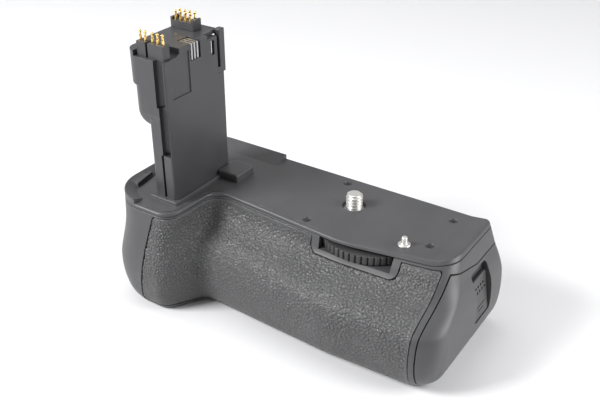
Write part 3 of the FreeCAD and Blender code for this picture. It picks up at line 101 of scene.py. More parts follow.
def body_stations(height):
    """The plan's stations at a height, on smooth curves through the given rows."""
    rows = BODY_LINES
    height = min(max(height, rows[0][0]), rows[-1][0])
    i = max(k for k in range(len(rows) - 1) if rows[k][0] <= height or k == 0)
    low, high = rows[i], rows[i + 1]
    span = high[0] - low[0]
    t = (height - low[0]) / span
    before = rows[max(i - 1, 0)]
    after = rows[min(i + 2, len(rows) - 1)]
    found = []
    for k in range(len(low[1])):
        start, end = low[1][k], high[1][k]
        leave = (end - before[1][k]) / (high[0] - before[0]) * span
        arrive = (after[1][k] - start) / (after[0] - low[0]) * span
        found.append(
            (2 * t**3 - 3 * t**2 + 1) * start
            + (t**3 - 2 * t**2 + t) * leave
            + (3 * t**2 - 2 * t**3) * end
            + (t**3 - t**2) * arrive
        )
    return found


def rounded(corners, inset=0.0, arcs=None, sides=None):
    """Points along a closed outline through corners (x, y, radius), anticlockwise.

    The inset moves it inwards. Arcs and sides give the steps of each corner and of the run after it.
    """
    count = len(corners)
    arcs = arcs or (6,) * count
    sides = sides or (1,) * count
    points = [Vector(corner[:2]) for corner in corners]
    runs = [(points[(i + 1) % count] - points[i]).normalized() for i in range(count)]
    ends = []
    for i, (_, _, radius) in enumerate(corners):
        before, after = runs[i - 1], runs[i]
        inward = Vector((-before.y - after.y, before.x + after.x))
        corner = points[i] + inward * (inset / (1 + before.dot(after)))
        turn = math.atan2(before.x * after.y - before.y * after.x, before.dot(after))
        if not radius:
            ends.append([corner])
            continue
        radius = max(radius - math.copysign(inset, turn), 0.2)
        reach = radius * math.tan(abs(turn) / 2)
        start, end = corner - before * reach, corner + after * reach
        side = Vector((-before.y, before.x)) * math.copysign(1, turn)
        centre = start + side * radius
        first = math.atan2(start.y - centre.y, start.x - centre.x)
        steps = arcs[i]
        ends.append([
            centre + Vector((math.cos(first + turn * k / steps), math.sin(first + turn * k / steps))) * radius
            for k in range(steps + 1)
        ])
    outline = []
    for i in range(count):
        outline += ends[i]
        start, end = ends[i][-1], ends[(i + 1) % count][0]
        outline += [start.lerp(end, k / sides[i]) for k in range(1, sides[i])]
    return outline


def body_outline(height, inset=0.0):
    """The body's outline at a height."""
    left, nose, nose_side, valley, valley_deep, front, corner, right = body_stations(height)
    across = (left, left, nose_side, valley, FRONT_BEND_X, right, right)
    along = (BACK_Y, nose, nose, valley_deep, front, corner, BACK_Y)
    return rounded(list(zip(across, along, CORNER_RADII)), inset, ARC_STEPS, SIDE_STEPS)


def oblong(x, y, radius=0.0):
    """The corners of a rectangle between limits on both axes, for rounded()."""
    return [(x[0], y[0], radius), (x[1], y[0], radius), (x[1], y[1], radius), (x[0], y[1], radius)]


def quarter(edge, steps=4):
    """Insets and rises of a rounded edge, from the flat face to the side."""
    angles = [math.pi / 2 * k / steps for k in range(steps + 1)]
    return [(edge * (1 - math.sin(a)), edge * (1 - math.cos(a))) for a in angles]


def hexagon(radius):
    """A six-sided outline round the screw's axis, as wide across its flats as a circle of the radius."""
    corner = radius / math.cos(math.pi / 6)
    return [(corner * math.cos(math.pi * k / 3), corner * math.sin(math.pi * k / 3)) for k in range(6)]


def turned_rings(profile, start, axis, steps):
    """The circles that a profile of (radius, height) pairs draws round an axis."""
    turn = Z.rotation_difference(axis).to_matrix()
    angles = [math.tau * k / steps for k in range(steps)]
    return [
        [Vector(start) + turn @ Vector((radius * math.cos(a), radius * math.sin(a), height)) for a in angles]
        for radius, height in profile
    ]


# Meshes from plain forms


def new_object(name, data):
    """An object for a mesh, a light or a camera, linked to the scene."""
    piece = bpy.data.objects.new(name, data)
    bpy.context.scene.collection.objects.link(piece)
    return piece


def new_piece(name, mesh_maker):
    """An object whose mesh is built by a function that is handed an empty bmesh, in millimetres."""
    build = bmesh.new()
    mesh_maker(build)
    bmesh.ops.scale(build, vec=(MM, MM, MM), verts=build.verts)
    bmesh.ops.recalc_face_normals(build, faces=build.faces)
    mesh = bpy.data.meshes.new(name)
    build.to_mesh(mesh)
    build.free()
    return new_object(name, mesh)


def wall(build, rows):
    """Faces between rings of equally many points."""
    for low, high in zip(rows, rows[1:]):
        for i in range(len(low)):
            j = (i + 1) % len(low)
            build.faces.new((low[i], low[j], high[j], high[i]))


def loft(name, rings):
    """A closed solid through rings of equally many points, each closed, with a face at both ends."""

    def make(build):
        rows = [[build.verts.new(point) for point in ring] for ring in rings]
        wall(build, rows)
        build.faces.new(rows[0][::-1])
        build.faces.new(rows[-1])

    return new_piece(name, make)


def turned(name, profile, start, axis=Z, steps=48):
    """A solid of revolution from a profile of (radius, height) pairs, each with a radius above nought."""
    return loft(name, turned_rings(profile, start, axis, steps))


def hoop(name, profile, start, axis=Z, steps=48):
    """A ring whose closed profile of (radius, height) pairs is turned round an axis."""

    def make(build):
        rings = turned_rings(profile, start, axis, steps)
        rows = [[build.verts.new(point) for point in ring] for ring in rings]
        wall(build, rows + rows[:1])

    return new_piece(name, make)


def rod(name, start, radius, length, axis=Z, steps=48):
    """A plain round cutter."""
    return turned(name, [(radius, 0), (radius, length)], start, axis, steps)


def soft_rod(name, start, radius, length, edge, axis=Z, steps=48):
    """A round piece with rounded edges at both ends."""
    foot = [(radius - cut, rise) for cut, rise in quarter(edge)]
    top = [(around, length - height) for around, height in foot[::-1]]
    return turned(name, foot + top, start, axis, steps)


def slab(name, outline, low, high, facing="up"):
    """A flat outline made solid between two planes; facing back, its points are (x, z), and right, (y, z)."""
    turn = {
        "up": lambda p, h: (p[0], p[1], h),
        "back": lambda p, h: (p[0], h, p[1]),
        "right": lambda p, h: (h, p[0], p[1]),
    }[facing]
    return loft(name, [[turn(point, height) for point in outline] for height in (low, high)])


def block(name, x, y, z):
    """A box-shaped piece or cutter between limits on each axis."""
    return slab(name, oblong(x, y), *z)


def applied(piece):
    """Make a piece's modifiers part of its mesh."""
    graph = bpy.context.evaluated_depsgraph_get()
    mesh = bpy.data.meshes.new_from_object(piece.evaluated_get(graph))
    piece.modifiers.clear()
    old = piece.data
    piece.data = mesh
    bpy.data.meshes.remove(old)
    return piece


def combine(piece, operation, others):
    """Cut other solids from a piece, join them to it, or keep what they share, and remove them."""
    for other in others:
        modifier = piece.modifiers.new("combine", "BOOLEAN")
        modifier.operation = operation
        modifier.solver = "EXACT"
        modifier.object = other
        applied(piece)
        bpy.data.objects.remove(other)
        if not piece.data.polygons:
            raise RuntimeError(f"nothing is left of {piece.name}")
    return piece


def carve(piece, *cutters):
    """A piece less its cutters."""
    return combine(piece, "DIFFERENCE", cutters)


def joined(piece, *others):
    """Several pieces as one solid."""
    return combine(piece, "UNION", others)


def shared(piece, *others):
    """What several pieces share."""
    return combine(piece, "INTERSECT", others)


def soften(piece, width, steps=2, angle=32.0):
    """Round a piece's crisp edges and smooth its shading."""
    modifier = piece.modifiers.new("edges", "BEVEL")
    modifier.width = width * MM
    modifier.segments = steps
    modifier.limit_method = "ANGLE"
    modifier.angle_limit = math.radians(angle)
    modifier.miter_outer = "MITER_ARC"
    applied(piece)
    return shade(piece)


def shade(piece, angle=35.0):
    """Smooth shading, with crisp edges where faces meet at more than an angle, and large faces kept flat."""
    piece.data.shade_smooth()
    piece.data.set_sharp_from_angle(angle=math.radians(angle))
    for face in piece.data.polygons:
        face.use_smooth = face.area < LARGE_FACE * MM * MM
    modifier = piece.modifiers.new("flat_faces", "WEIGHTED_NORMAL")
    modifier.mode = "FACE_AREA"
    modifier.weight = 100
    modifier.keep_sharp = True
    return applied(piece)


def copy_of(node, name):
    """A cleaned copy of a CAD node's mesh: doubled points merged and flat faces made whole."""
    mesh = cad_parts[node].data.copy()
    mesh.name = name
    mesh.materials.clear()
    build = bmesh.new()
    build.from_mesh(mesh)
    bmesh.ops.remove_doubles(build, verts=build.verts, dist=1e-6)
    bmesh.ops.dissolve_limit(build, angle_limit=math.radians(0.5), verts=build.verts, edges=build.edges)
    bmesh.ops.recalc_face_normals(build, faces=build.faces)
    build.to_mesh(mesh)
    build.free()
    return new_object(name, mesh)


def merged(name, pieces):
    """Separate pieces kept together in one mesh, without joining their solids."""
    build = bmesh.new()
    for piece in pieces:
        build.from_mesh(piece.data)
        bpy.data.objects.remove(piece)
    mesh = bpy.data.meshes.new(name)
    build.to_mesh(mesh)
    build.free()
    return new_object(name, mesh)


def dress(piece, finish_name, body, *nodes, slot=None):
    """Give a piece its finish, the body that it rides on, and the CAD nodes that it stands for, which it
    hides. The slot argument is not used.
    """
    piece.data.materials.clear()
    piece.data.materials.append(finish(finish_name))
    if nodes:
        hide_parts(*nodes)
    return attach(piece, body)


def dressed_copy(node, name, finish_name, body, edge, steps=2):
    """A copy of a CAD node with rounded edges, in a finish."""
    return dress(soften(copy_of(node, name), edge, steps), finish_name, body, node)


# Finishes


# Width in metres of the faint clouds in the plastic's colour and gloss, and in the rubber's
CLOUD_SIZE = 1 / 55.0
RUBBER_CLOUD_SIZE = 1 / 70.0
# What the settings of one kind have in common
COLOUR = {"size": 3, "subtype": "COLOR", "min": 0, "max": 1}
SHARE = {"min": 0, "max": 1, "subtype": "FACTOR"}


class GripFinishes(PropertyGroup):
    """Colours and gloss of the grip's materials."""

    housing: FloatVectorProperty(name="Housing", description="Satin black plastic of the shell and the cover",
                                 default=(0.064, 0.064, 0.067), **COLOUR)
    housing_roughness: FloatProperty(name="Housing roughness", description="Roughness of the satin plastic",
                                     default=0.42, **SHARE)
    rubber: FloatVectorProperty(name="Rubber", description="Leather-grained rubber of the handle",
                                default=(0.090, 0.090, 0.092), **COLOUR)
    rubber_roughness: FloatProperty(name="Rubber roughness", description="Roughness of the rubber",
                                    default=0.34, **SHARE)
    post: FloatVectorProperty(name="Post", description="Harder black plastic of the battery post",
                              default=(0.046, 0.046, 0.049), **COLOUR)
    control: FloatVectorProperty(name="Controls", description="Plastic of wheels, buttons and the switch",
                                 default=(0.062, 0.062, 0.064), **COLOUR)
    contact_black: FloatVectorProperty(name="Contact housings", description="Glossier plastic round the pins",
                                       default=(0.012, 0.013, 0.016), **COLOUR)
    gear: FloatVectorProperty(name="Gears", description="Pale plastic of the gears",
                              default=(0.62, 0.60, 0.54), **COLOUR)
    nickel: FloatVectorProperty(name="Nickel", description="Bright plating of the screw and the guide pin",
                                default=(0.27, 0.235, 0.21), **COLOUR)
    steel: FloatVectorProperty(name="Steel", description="Terminals, tripod socket and spindles",
                               default=(0.52, 0.52, 0.53), **COLOUR)
    gold: FloatVectorProperty(name="Gold", description="Contact pins and the contacts of the tray",
                              default=(0.95, 0.66, 0.24), **COLOUR)
    battery: FloatVectorProperty(name="Battery packs", description="Plastic of the battery packs",
                                 default=(0.10, 0.10, 0.11), **COLOUR)
    board: FloatVectorProperty(name="Circuit board", description="Lacquer of the circuit board",
                               default=(0.02, 0.13, 0.05), **COLOUR)
    grain_size: FloatProperty(name="Leather grain", description="Width of a grain of the leather texture",
                              default=1.22 * MM, unit="LENGTH")
    grain_depth: FloatProperty(name="Leather depth", description="Depth of the creases between the grains",
                               default=0.38 * MM, unit="LENGTH")


def add_node(tree, kind, at, **values):
    """A shader node at a place, with its inputs set by name, each to a value or to another node's output."""
    made = tree.nodes.new(kind)
    made.location = at
    for name, value in values.items():
        if hasattr(made, name):
            setattr(made, name, value)
        elif isinstance(value, bpy.types.NodeSocket):
            tree.links.new(value, made.inputs[name.replace("_", " ")])
        else:
            made.inputs[name.replace("_", " ")].default_value = value
    return made


def blank_material(name):
    """A new material with its shader, and the output that gives the object's own coordinates."""
    material = bpy.data.materials.new(name)
    material.use_nodes = True
    tree = material.node_tree
    place = add_node(tree, "ShaderNodeTexCoord", (-1400, 0)).outputs["Object"]
    return material, tree, tree.nodes["Principled BSDF"], place


def noise_of(tree, at, size, detail, place):
    """A noise texture of a grain size in metres."""
    return add_node(tree, "ShaderNodeTexNoise", at, Scale=1 / size, Detail=detail, Vector=place)


def spread(tree, source, low, high, at, start=0.25, end=0.75):
    """Map a texture's values between start and end to a range from low to high."""
    limits = {"From_Min": start, "From_Max": end, "To_Min": low, "To_Max": high}
    return add_node(tree, "ShaderNodeMapRange", at, Value=source, **limits).outputs["Result"]


def tinted(tree, source, colour, change, at):
    """A colour that a texture makes a little darker and lighter."""
    ramp = add_node(tree, "ShaderNodeValToRGB", at, Fac=source)
    for element, place, factor in zip(ramp.color_ramp.elements, (0.3, 0.7), (1 - change, 1 + change)):
        element.position = place
        element.color = (*[min(c * factor, 1) for c in colour], 1)
    return ramp.outputs["Color"]


def bumped(tree, source, depth, at, **values):
    """The normal that a texture's relief gives, its depth in millimetres."""
    made = add_node(tree, "ShaderNodeBump", at, Strength=1.0, Distance=depth * MM, Height=source, **values)
    return made.outputs["Normal"]


def moulded(name, colour, roughness, grain=0.35, relief=0.012, radius=0.25, specular=0.5):
    """Moulded plastic with a fine grain, cloudy gloss and soft edges, its lengths in millimetres."""
    material, tree, shader, place = blank_material(name)
    clouds = noise_of(tree, (-1150, 250), CLOUD_SIZE, 3.0, place).outputs["Fac"]
    speck = noise_of(tree, (-1150, -150), grain * MM, 2.0, place).outputs["Fac"]
    gloss = spread(tree, clouds, roughness - 0.04, roughness + 0.04, (-700, 100))
    soft_edge = add_node(tree, "ShaderNodeBevel", (-700, -420), samples=4, Radius=radius * MM)
    normal = bumped(tree, speck, relief, (-400, -200), Normal=soft_edge.outputs["Normal"])
    tree.links.new(tinted(tree, clouds, colour, 0.10, (-700, 400)), shader.inputs["Base Color"])
    tree.links.new(gloss, shader.inputs["Roughness"])
    tree.links.new(normal, shader.inputs["Normal"])
    shader.inputs["Specular IOR Level"].default_value = specular
    return material


def plated(name, colour, roughness):
    """Plated or turned metal with faint tool marks."""
    material, tree, shader, place = blank_material(name)
    marks = noise_of(tree, (-1150, 0), 0.25 * MM, 3.0, place).outputs["Fac"]
    gloss = spread(tree, marks, roughness - 0.04, roughness + 0.05, (-700, 0))
    tree.links.new(tinted(tree, marks, colour, 0.06, (-700, 300)), shader.inputs["Base Color"])
    tree.links.new(gloss, shader.inputs["Roughness"])
    tree.links.new(bumped(tree, marks, 0.003, (-400, -200)), shader.inputs["Normal"])
    shader.inputs["Metallic"].default_value = 1.0
    return material


def leather(name, colour, roughness, grain):
    """Rubber with the fine creases of leather, over the grain that the mesh itself carries, with painted
    shade in the mesh's creases and a painted highlight on its grain tops.
    """
    material, tree, shader, place = blank_material(name)
    clouds = noise_of(tree, (-1150, 350), RUBBER_CLOUD_SIZE, 4.0, place).outputs["Fac"]
    pores = noise_of(tree, (-1150, -350), 0.28 * MM, 3.0, place).outputs["Fac"]
    warp = noise_of(tree, (-1650, -120), grain * 1.6, 2.0, place)
    bend = add_node(tree, "ShaderNodeVectorMath", (-1330, -120), operation="MULTIPLY_ADD")
    tree.links.new(warp.outputs["Color"], bend.inputs[0])
    bend.inputs[1].default_value = (grain * 0.9,) * 3
    tree.links.new(place, bend.inputs[2])
    creases = add_node(tree, "ShaderNodeTexVoronoi", (-1150, 0), feature="DISTANCE_TO_EDGE",
                       Scale=1 / (grain * 0.6), Vector=bend.outputs["Vector"])
    depth = add_node(tree, "ShaderNodeMapRange", (-700, -100), interpolation_type="SMOOTHSTEP",
                     Value=creases.outputs["Distance"], From_Max=0.22)

    # Painted shade and highlight: the mesh's pointiness darkens the colour to 0.30 in the grain's creases and
    # lightens it to 1.20 on its tops.
    painted_shade_and_highlight_mask = add_node(tree, "ShaderNodeNewGeometry", (-950, 750)).outputs["Pointiness"]
    shaded = add_node(tree, "ShaderNodeVectorMath", (-300, 500), operation="SCALE",
                      Scale=spread(tree, painted_shade_and_highlight_mask, 0.30, 1.20, (-700, 750), 0.44, 0.54))
    tree.links.new(tinted(tree, clouds, colour, 0.10, (-700, 450)), shaded.inputs[0])
    gloss = spread(tree, pores, roughness - 0.05, roughness + 0.07, (-700, 150))
    fine = bumped(tree, pores, 0.012, (-500, -350))
    coarse = bumped(tree, depth.outputs["Result"], 0.07, (-250, -200), Normal=fine)
    tree.links.new(shaded.outputs["Vector"], shader.inputs["Base Color"])
    tree.links.new(gloss, shader.inputs["Roughness"])
    tree.links.new(coarse, shader.inputs["Normal"])
    return material


def finish(name):
    """A finish by name, made once."""
    if name in bpy.data.materials:
        return bpy.data.materials[name]
    look = bpy.context.scene.grip_finishes
    makers = {
        "satin_housing": lambda: moulded(name, look.housing, look.housing_roughness),
        "post_plastic": lambda: moulded(name, look.post, 0.38, grain=0.5, relief=0.008, radius=0.2),
        "control_plastic": lambda: moulded(name, look.control, 0.30, grain=0.3, relief=0.006, radius=0.15),
        "contact_plastic": lambda: moulded(name, look.contact_black, 0.28, grain=0.4, relief=0.004,
                                           radius=0.12, specular=0.15),
        "gear_plastic": lambda: moulded(name, look.gear, 0.4, relief=0.004, radius=0.1),
        "pack_plastic": lambda: moulded(name, look.battery, 0.45, radius=0.3),
        "board_lacquer": lambda: moulded(name, look.board, 0.3, grain=0.8, relief=0.006, radius=0.1),
        "leather_rubber": lambda: leather(name, look.rubber, look.rubber_roughness, look.grain_size),
        "bright_nickel": lambda: plated(name, look.nickel, 0.28),
        "terminal_metal": lambda: plated(name, look.steel, 0.3),
        "turned_steel": lambda: plated(name, look.steel, 0.32),
        "contact_gold": lambda: plated(name, look.gold, 0.22),
    }
    return makers[name]()


# The shell, the cover, the rubber and the end cap


class GripBodySizes(PropertyGroup):
    """Seams and edges of the moulded body, in metres."""

    seam: FloatProperty(name="Seam", description="Open seam round the rubber",
                        default=0.28 * MM, unit="LENGTH")
    cover_seam: FloatProperty(name="Cover seam", description="Half of the open seam under the top cover",
                              default=0.10 * MM, unit="LENGTH")
    cap_gap: FloatProperty(name="Cap gap", description="Gap between the end cap and the shell",
                           default=0.45 * MM, unit="LENGTH")
    foot_edge: FloatProperty(name="Foot edge", description="Rounding of the edge round the foot",
                             default=0.9 * MM, unit="LENGTH")
    deck_edge: FloatProperty(name="Deck edge", description="Rounding of the edge round the deck",
                             default=0.55 * MM, unit="LENGTH")
    lip: FloatProperty(name="Seam lip", description="Rounding of both lips of the cover's seam",
                       default=0.18 * MM, unit="LENGTH")
    rubber_depth: FloatProperty(name="Rubber depth", description="Depth of the rubber in its recess",
                                default=1.4 * MM, unit="LENGTH")
    rubber_step: FloatProperty(name="Rubber step", description="Distance between points of the front rubber",
                               default=0.30 * MM, unit="LENGTH")
    thumb_step: FloatProperty(name="Thumb rest step", description="Distance between points of the thumb rest",
                              default=0.34 * MM, unit="LENGTH")


RUBBER_OUTLINE = (
    (-65.1, 2.5, 1.5),
    (45.5, 2.5, 1.5),
    (45.5, 39.7, 1.5),
    (31.5, 39.7, 0),
    (31.5, 33.9, 2.5),
    (-3.9, 33.9, 2.5),
    (-3.9, 39.7, 0),
    (-60.1, 39.7, 1.5),
)
# Width of the leather's creases, as a share of a grain, and the seed of the noise that bends them
CREASE_WIDTH = 0.40
GRAIN_SEED = 1
# Where the front rubber's grain ends, the length over which it fades, and the way that its full depth faces
GRAIN_X, GRAIN_Z, GRAIN_FADE = (-66.5, 46.5), (1.5, 40.5), 3.0
GRAIN_FACING = Vector((0.0, -0.8, 0.25))
# The grain's depth at the foot, as a share, and the heights between which it grows to full
FOOT_GRAIN, FOOT_GRAIN_Z = 0.45, (6.0, 17.0)
# Where the end cap's edge turns, seen from the right, as (height, y)
CAP_SEAM = ((35.0, -1.0), (39.0, -20.0))
CAP_BEND = 9.0
MOUTH_X = 47.7
WINDOW_X = (-0.4, 28.4)
WINDOW_LOW_Z = 35.7
WHEEL_AT = (12.1, -6.3)
WHEEL_RADIUS = 19.6
RAMP_X = 41.0
RAMP_RISE = 1.0
RAMP_LENGTH = 7.0
RAMP_FOOT_Z = 38.0
POST_RIGHT_X, POST_LEFT_X, WAIST_X = -57.0, -75.6, -74.1
POST_FRONT_Y, POST_BACK_Y = -36.4, -3.3
LEG_X, LEG_Y = -66.8, -22.0
POST_CORNER, POST_BEND, WAIST_BEND = 0.6, 5.0, 3.2
FACET_AT = (-81.264, 9.0)
FACET_LEAN = math.radians(12.308)
FACET = Vector((-math.cos(FACET_LEAN), 0, -math.sin(FACET_LEAN)))
SHUTTER_Y, SHUTTER_RADIUS = -28.5, 5.4
DIAL_Y, DIAL_RADIUS, DIAL_WIDTH, DIAL_PROUD = -15.0, 6.4, 6.0, 2.0
COVER_SCREWS = ((-9.2, -18.5), (-10.6, 13.1), (36.2, -9.4), (36.0, 10.4))
DECK_BAR = ((-79.3, -34.7), (-77.7, -34.7), (-79.6, -24.1), (-81.2, -24.1))
BAR_GROOVE = ((-77.3, -35.0), (-76.8, -35.0), (-78.6, -24.6), (-79.1, -24.6))
TRAY_X, TRAY_Y, TRAY_Z = (-65.6, 49.7), (-25.7, 14.9), (6.6, 28.7)
TRAY_PLAY = 0.3
LABEL_INSET, LABEL_DEPTH = 5.0, 0.25
LATCH_FOOT, LATCH_LEAN = Vector((55.0, -1.2, 14.2)), math.radians(9.6)
# The latch's grip: rows of round dots as (place along the latch, count), and lines as (place, half length)
LATCH_DOT, LATCH_DOT_STEP = 1.1, 2.0
LATCH_DOT_ROWS = ((12.6, 4), (10.4, 5))
LATCH_LINES = ((4.6, 3.6), (3.0, 2.4))
REAR_PANEL = oblong((-70, 45), (3.5, 38), 3)
REAR_PANEL_Y = BACK_Y - 2.4
THUMB_REST = oblong((-66, -34), (17.5, 36), 5)
BUTTONS_X, BUTTONS_Z, BUTTON_BORE = (-63.5, -54.0, -44.5), 11.0, 3.7
SWITCH_X, SWITCH_BORE = -24.0, 1.55


def ring(height, inset=0.0):
    """The body's outline at a height, lifted by the ramp at the right end."""
    points = []
    share = between(height, RAMP_FOOT_Z, DECK_Z)
    for x, y in body_outline(height, inset):
        t = between(x, RAMP_X, RAMP_X + RAMP_LENGTH)
        points.append((x, y, height + RAMP_RISE * share * t * t * (3 - 2 * t)))
    return points


def body_solid(name, low, high, low_edge, high_edge, inset=0.0, rows=34):
    """The body's smooth form between two heights, with rounded edges at both."""
    rings = [ring(low + rise, inset + cut) for cut, rise in quarter(low_edge)]
    start, end = low + low_edge, high - high_edge
    rings += [ring(start + (end - start) * k / rows, inset) for k in range(1, rows)]
    rings += [ring(high - rise, inset + cut) for cut, rise in quarter(high_edge)[::-1]]
    return loft(name, rings)


def split_across(piece, places):
    """Split a piece's large faces at places along X, so that the ramp keeps its slope."""
    build = bmesh.new()
    build.from_mesh(piece.data)
    for x in places:
        everything = build.verts[:] + build.edges[:] + build.faces[:]
        bmesh.ops.bisect_plane(build, geom=everything, plane_co=X * x * MM, plane_no=X)
    build.to_mesh(piece.data)
    build.free()
    return piece


def rubber_zone(name, grow):
    """Where the front rubber lies, seen from the front."""
    return slab(name, rounded(RUBBER_OUTLINE, -grow, (5,) * 8), -FAR, -8.0, "back")


def cap_zone(name, left_x, grow):
    """What the end cap takes of the body's right end."""
    (low_z, low_y), (high_z, high_y) = CAP_SEAM
    corners = [(-FAR, -5, 0), (FAR, -5, 0), (FAR, low_z, 0), (low_y, low_z, CAP_BEND),
               (high_y, high_z, CAP_BEND), (-FAR, high_z, 0)]
    return slab(name, rounded(corners, -grow), left_x, FAR, "right")


def facet_point(y, height=0.0):
    """A point of the sloped facet, or at a height over it."""
    return Vector((FACET_AT[0], y, FACET_AT[1])) + FACET * height


def facet_rod(name, y, radius, low, high):
    """A rod square to the sloped facet, between two heights over it."""
    return rod(name, facet_point(y, low), radius, high - low, FACET)


def post_outline(grow):
    """Outline of the post where it passes the deck."""
    corners = [(POST_RIGHT_X, POST_FRONT_Y, POST_CORNER), (POST_RIGHT_X, POST_BACK_Y, POST_CORNER),
               (WAIST_X, POST_BACK_Y, WAIST_BEND), (WAIST_X, LEG_Y, 1.5), (LEG_X, LEG_Y, 0),
               (LEG_X, POST_FRONT_Y, 1.5)]
    return rounded(corners, -grow)


class GRIP_OT_shell(Operator):
    """Smooth main shell, with the rooms for everything that it holds"""

    bl_idname = "grip.shell"
    bl_label = "Main shell"

    def execute(self, context):
        sizes = context.scene.grip_body
        top = COVER_Z - sizes.cover_seam / MM
        shell = body_solid("shell_moulding", 0.0, top, sizes.foot_edge / MM, sizes.lip / MM)
        core = body_solid("core", -2.0, DECK_Z + 4, 0.1, 0.1, sizes.rubber_depth / MM)
        left, front, (foot, head) = TRAY_X[0], TRAY_Y[0], TRAY_Z
        chamber_y = (front - TRAY_PLAY, REAR_PANEL_Y)
        dial_at = facet_point(DIAL_Y - DIAL_WIDTH / 2 - 0.3, DIAL_PROUD - DIAL_RADIUS)
        carve(
            shell,
            carve(rubber_zone("rubber_recess", sizes.seam / MM), core),
            cap_zone("cap_room", MOUTH_X, sizes.cap_gap / MM),
            block("chamber", (left - TRAY_PLAY, FAR), chamber_y, (foot - TRAY_PLAY, head + TRAY_PLAY)),
            slab("rear_room", rounded(REAR_PANEL, -0.1), REAR_PANEL_Y, FAR, "back"),
            rod("wheel_room", (*WHEEL_AT, WINDOW_LOW_Z), WHEEL_RADIUS + 0.4, 10, Z, 96),
            block("gear_room", (-8.0, 8.0), (-8.0, 8.0), (39.3, FAR)),
            block("window", WINDOW_X, (-FAR, -16.1), (WINDOW_LOW_Z, FAR)),
            slab("post_room", post_outline(0.1), 34.0, FAR),
            block("board_room", (-53.3, -23.7), (-13.3, 11.3), (34.0, FAR)),
            block("contact_room", (-68.3, FAR), (-13.4, 2.6), (13.2, 23.2)),
            rod("dial_room", dial_at, DIAL_RADIUS + 0.3, DIAL_WIDTH + 0.6, Y, 64),
            facet_rod("shutter_well", SHUTTER_Y, SHUTTER_RADIUS + 0.3, -3.7, 10),
            facet_rod("collar_room", SHUTTER_Y, SHUTTER_RADIUS + 1.4, -2.0, 10),
            slab("socket_room", hexagon(6.5), -1.0, 5.5),
        )
        dress(shade(shell), "satin_housing", "root", "main_shell")
        return {"FINISHED"}


def deck_ring(name, rows):
    """A solid on the deck's outline through rows of (inset, height)."""
    return loft(name, [[(x, y, height) for x, y in body_outline(DECK_Z, inset)] for inset, height in rows])


def deck_rim():
    """The rim behind and to the left of the deck, which slopes down to the deck inside."""
    sunk, top = DECK_Z - 0.5, DECK_Z + 1.8
    blank = deck_ring("rim_blank", [(0.0, sunk), (0.0, top - 0.3), (0.08, top - 0.08), (0.3, top)])
    foot_y, crest_y = 9.6, BACK_Y - 0.6
    slope = [(foot_y, sunk), (FAR, sunk), (FAR, top + 1), (crest_y, top + 1), (crest_y, top),
             (foot_y, DECK_Z)]
    behind = slab("rim_behind", slope, -FAR, -43.0, "right")
    dish = deck_ring("rim_dish", [(4.8, DECK_Z), (0.6, top), (0.6, top + 1)])
    end = carve(block("rim_end", (-FAR, -70.0), (-FAR, FAR), (sunk, top + 1)), dish)
    return shared(blank, joined(behind, end))


class GRIP_OT_deck(Operator):
    """Top cover with its rim, collar, block, bar and screw wells"""

    bl_idname = "grip.deck"
    bl_label = "Top cover"

    def execute(self, context):
        sizes = context.scene.grip_body
        low = COVER_Z + sizes.cover_seam / MM
        deck = body_solid("deck_moulding", low, DECK_Z, sizes.lip / MM, sizes.deck_edge / MM, 0.0, 4)
        split_across(deck, [RAMP_X + RAMP_LENGTH * k / 10 for k in range(10)])
        rim = deck_rim()
        sunk = DECK_Z - 0.5
        collar = slab("post_collar", post_outline(1.5), sunk, DECK_Z + 1.2)
        raised = block("raised_block", (POST_RIGHT_X, -47.0), (-11.0, 0.3), (sunk, DECK_Z + 3.2))
        bar = slab("deck_bar", DECK_BAR, sunk, DECK_Z + 1.5)
        joined(deck, rim, soften(collar, 0.3), soften(raised, 0.8, 3), soften(bar, 0.3))

        line = carve(slab("edge_line", body_outline(DECK_Z, 1.35), DECK_Z - 0.3, DECK_Z + 0.4),
                     slab("edge_core", body_outline(DECK_Z, 1.75), -FAR, FAR))
        line = shared(line, block("edge_reach", (-62.0, -3.0), (-FAR, -19.0), (0, FAR)))
        screw_hole = [(4.2, 0), (4.2, 2.1), (4.6, 2.5), (4.6, 4)]
        well = [(1.45, 0), (1.45, 0.75), (1.75, 1.15), (1.75, 2)]
        carve(
            deck,
            line,
            slab("post_hole", post_outline(0.05), COVER_Z - 1, FAR),
            turned("screw_hole", screw_hole, (0, 0, COVER_Z - 1), Z, 64),
            slab("bar_groove", BAR_GROOVE, sunk, DECK_Z + 0.5),
            *[turned("well", well, (x, y, COVER_Z + 0.3), Z, 32) for x, y in COVER_SCREWS],
        )
        dress(shade(deck), "satin_housing", "root", "top_cover")
        return {"FINISHED"}


def leather_height(point, size):
    """Height of the leather's grain at a point, from 0 in a crease to 1 on a grain."""
    spot = point / size
    spot = spot + Vector(noise.noise_vector(spot * 0.55)) * 0.55
    near, second = noise.voronoi(spot)[0][:2]
    ridge = min((second - near) / CREASE_WIDTH, 1.0)
    return ridge * ridge * (3 - 2 * ridge) * (0.85 + 0.15 * noise.noise(spot * 0.9))


def grained(piece, step, look, strength):
    """Rebuild a rubber piece in small even faces, soften its edges and press the leather's grain into it."""
    modifier = piece.modifiers.new("even", "REMESH")
    modifier.mode = "VOXEL"
    modifier.voxel_size = step
    modifier.adaptivity = 0.0
    smooth = piece.modifiers.new("smooth", "SMOOTH")
    smooth.iterations = 4
    smooth.factor = 0.5
    applied(piece)
    mesh = piece.data
    normals = [vertex.normal.copy() for vertex in mesh.vertices]
    noise.seed_set(GRAIN_SEED)
    for vertex, normal in zip(mesh.vertices, normals):
        share = strength(vertex.co / MM, normal)
        if share > 0:
            sink = (1 - leather_height(vertex.co, look.grain_size)) * look.grain_depth * share
            vertex.co -= normal * sink
    mesh.update()
    mesh.shade_smooth()
    return piece


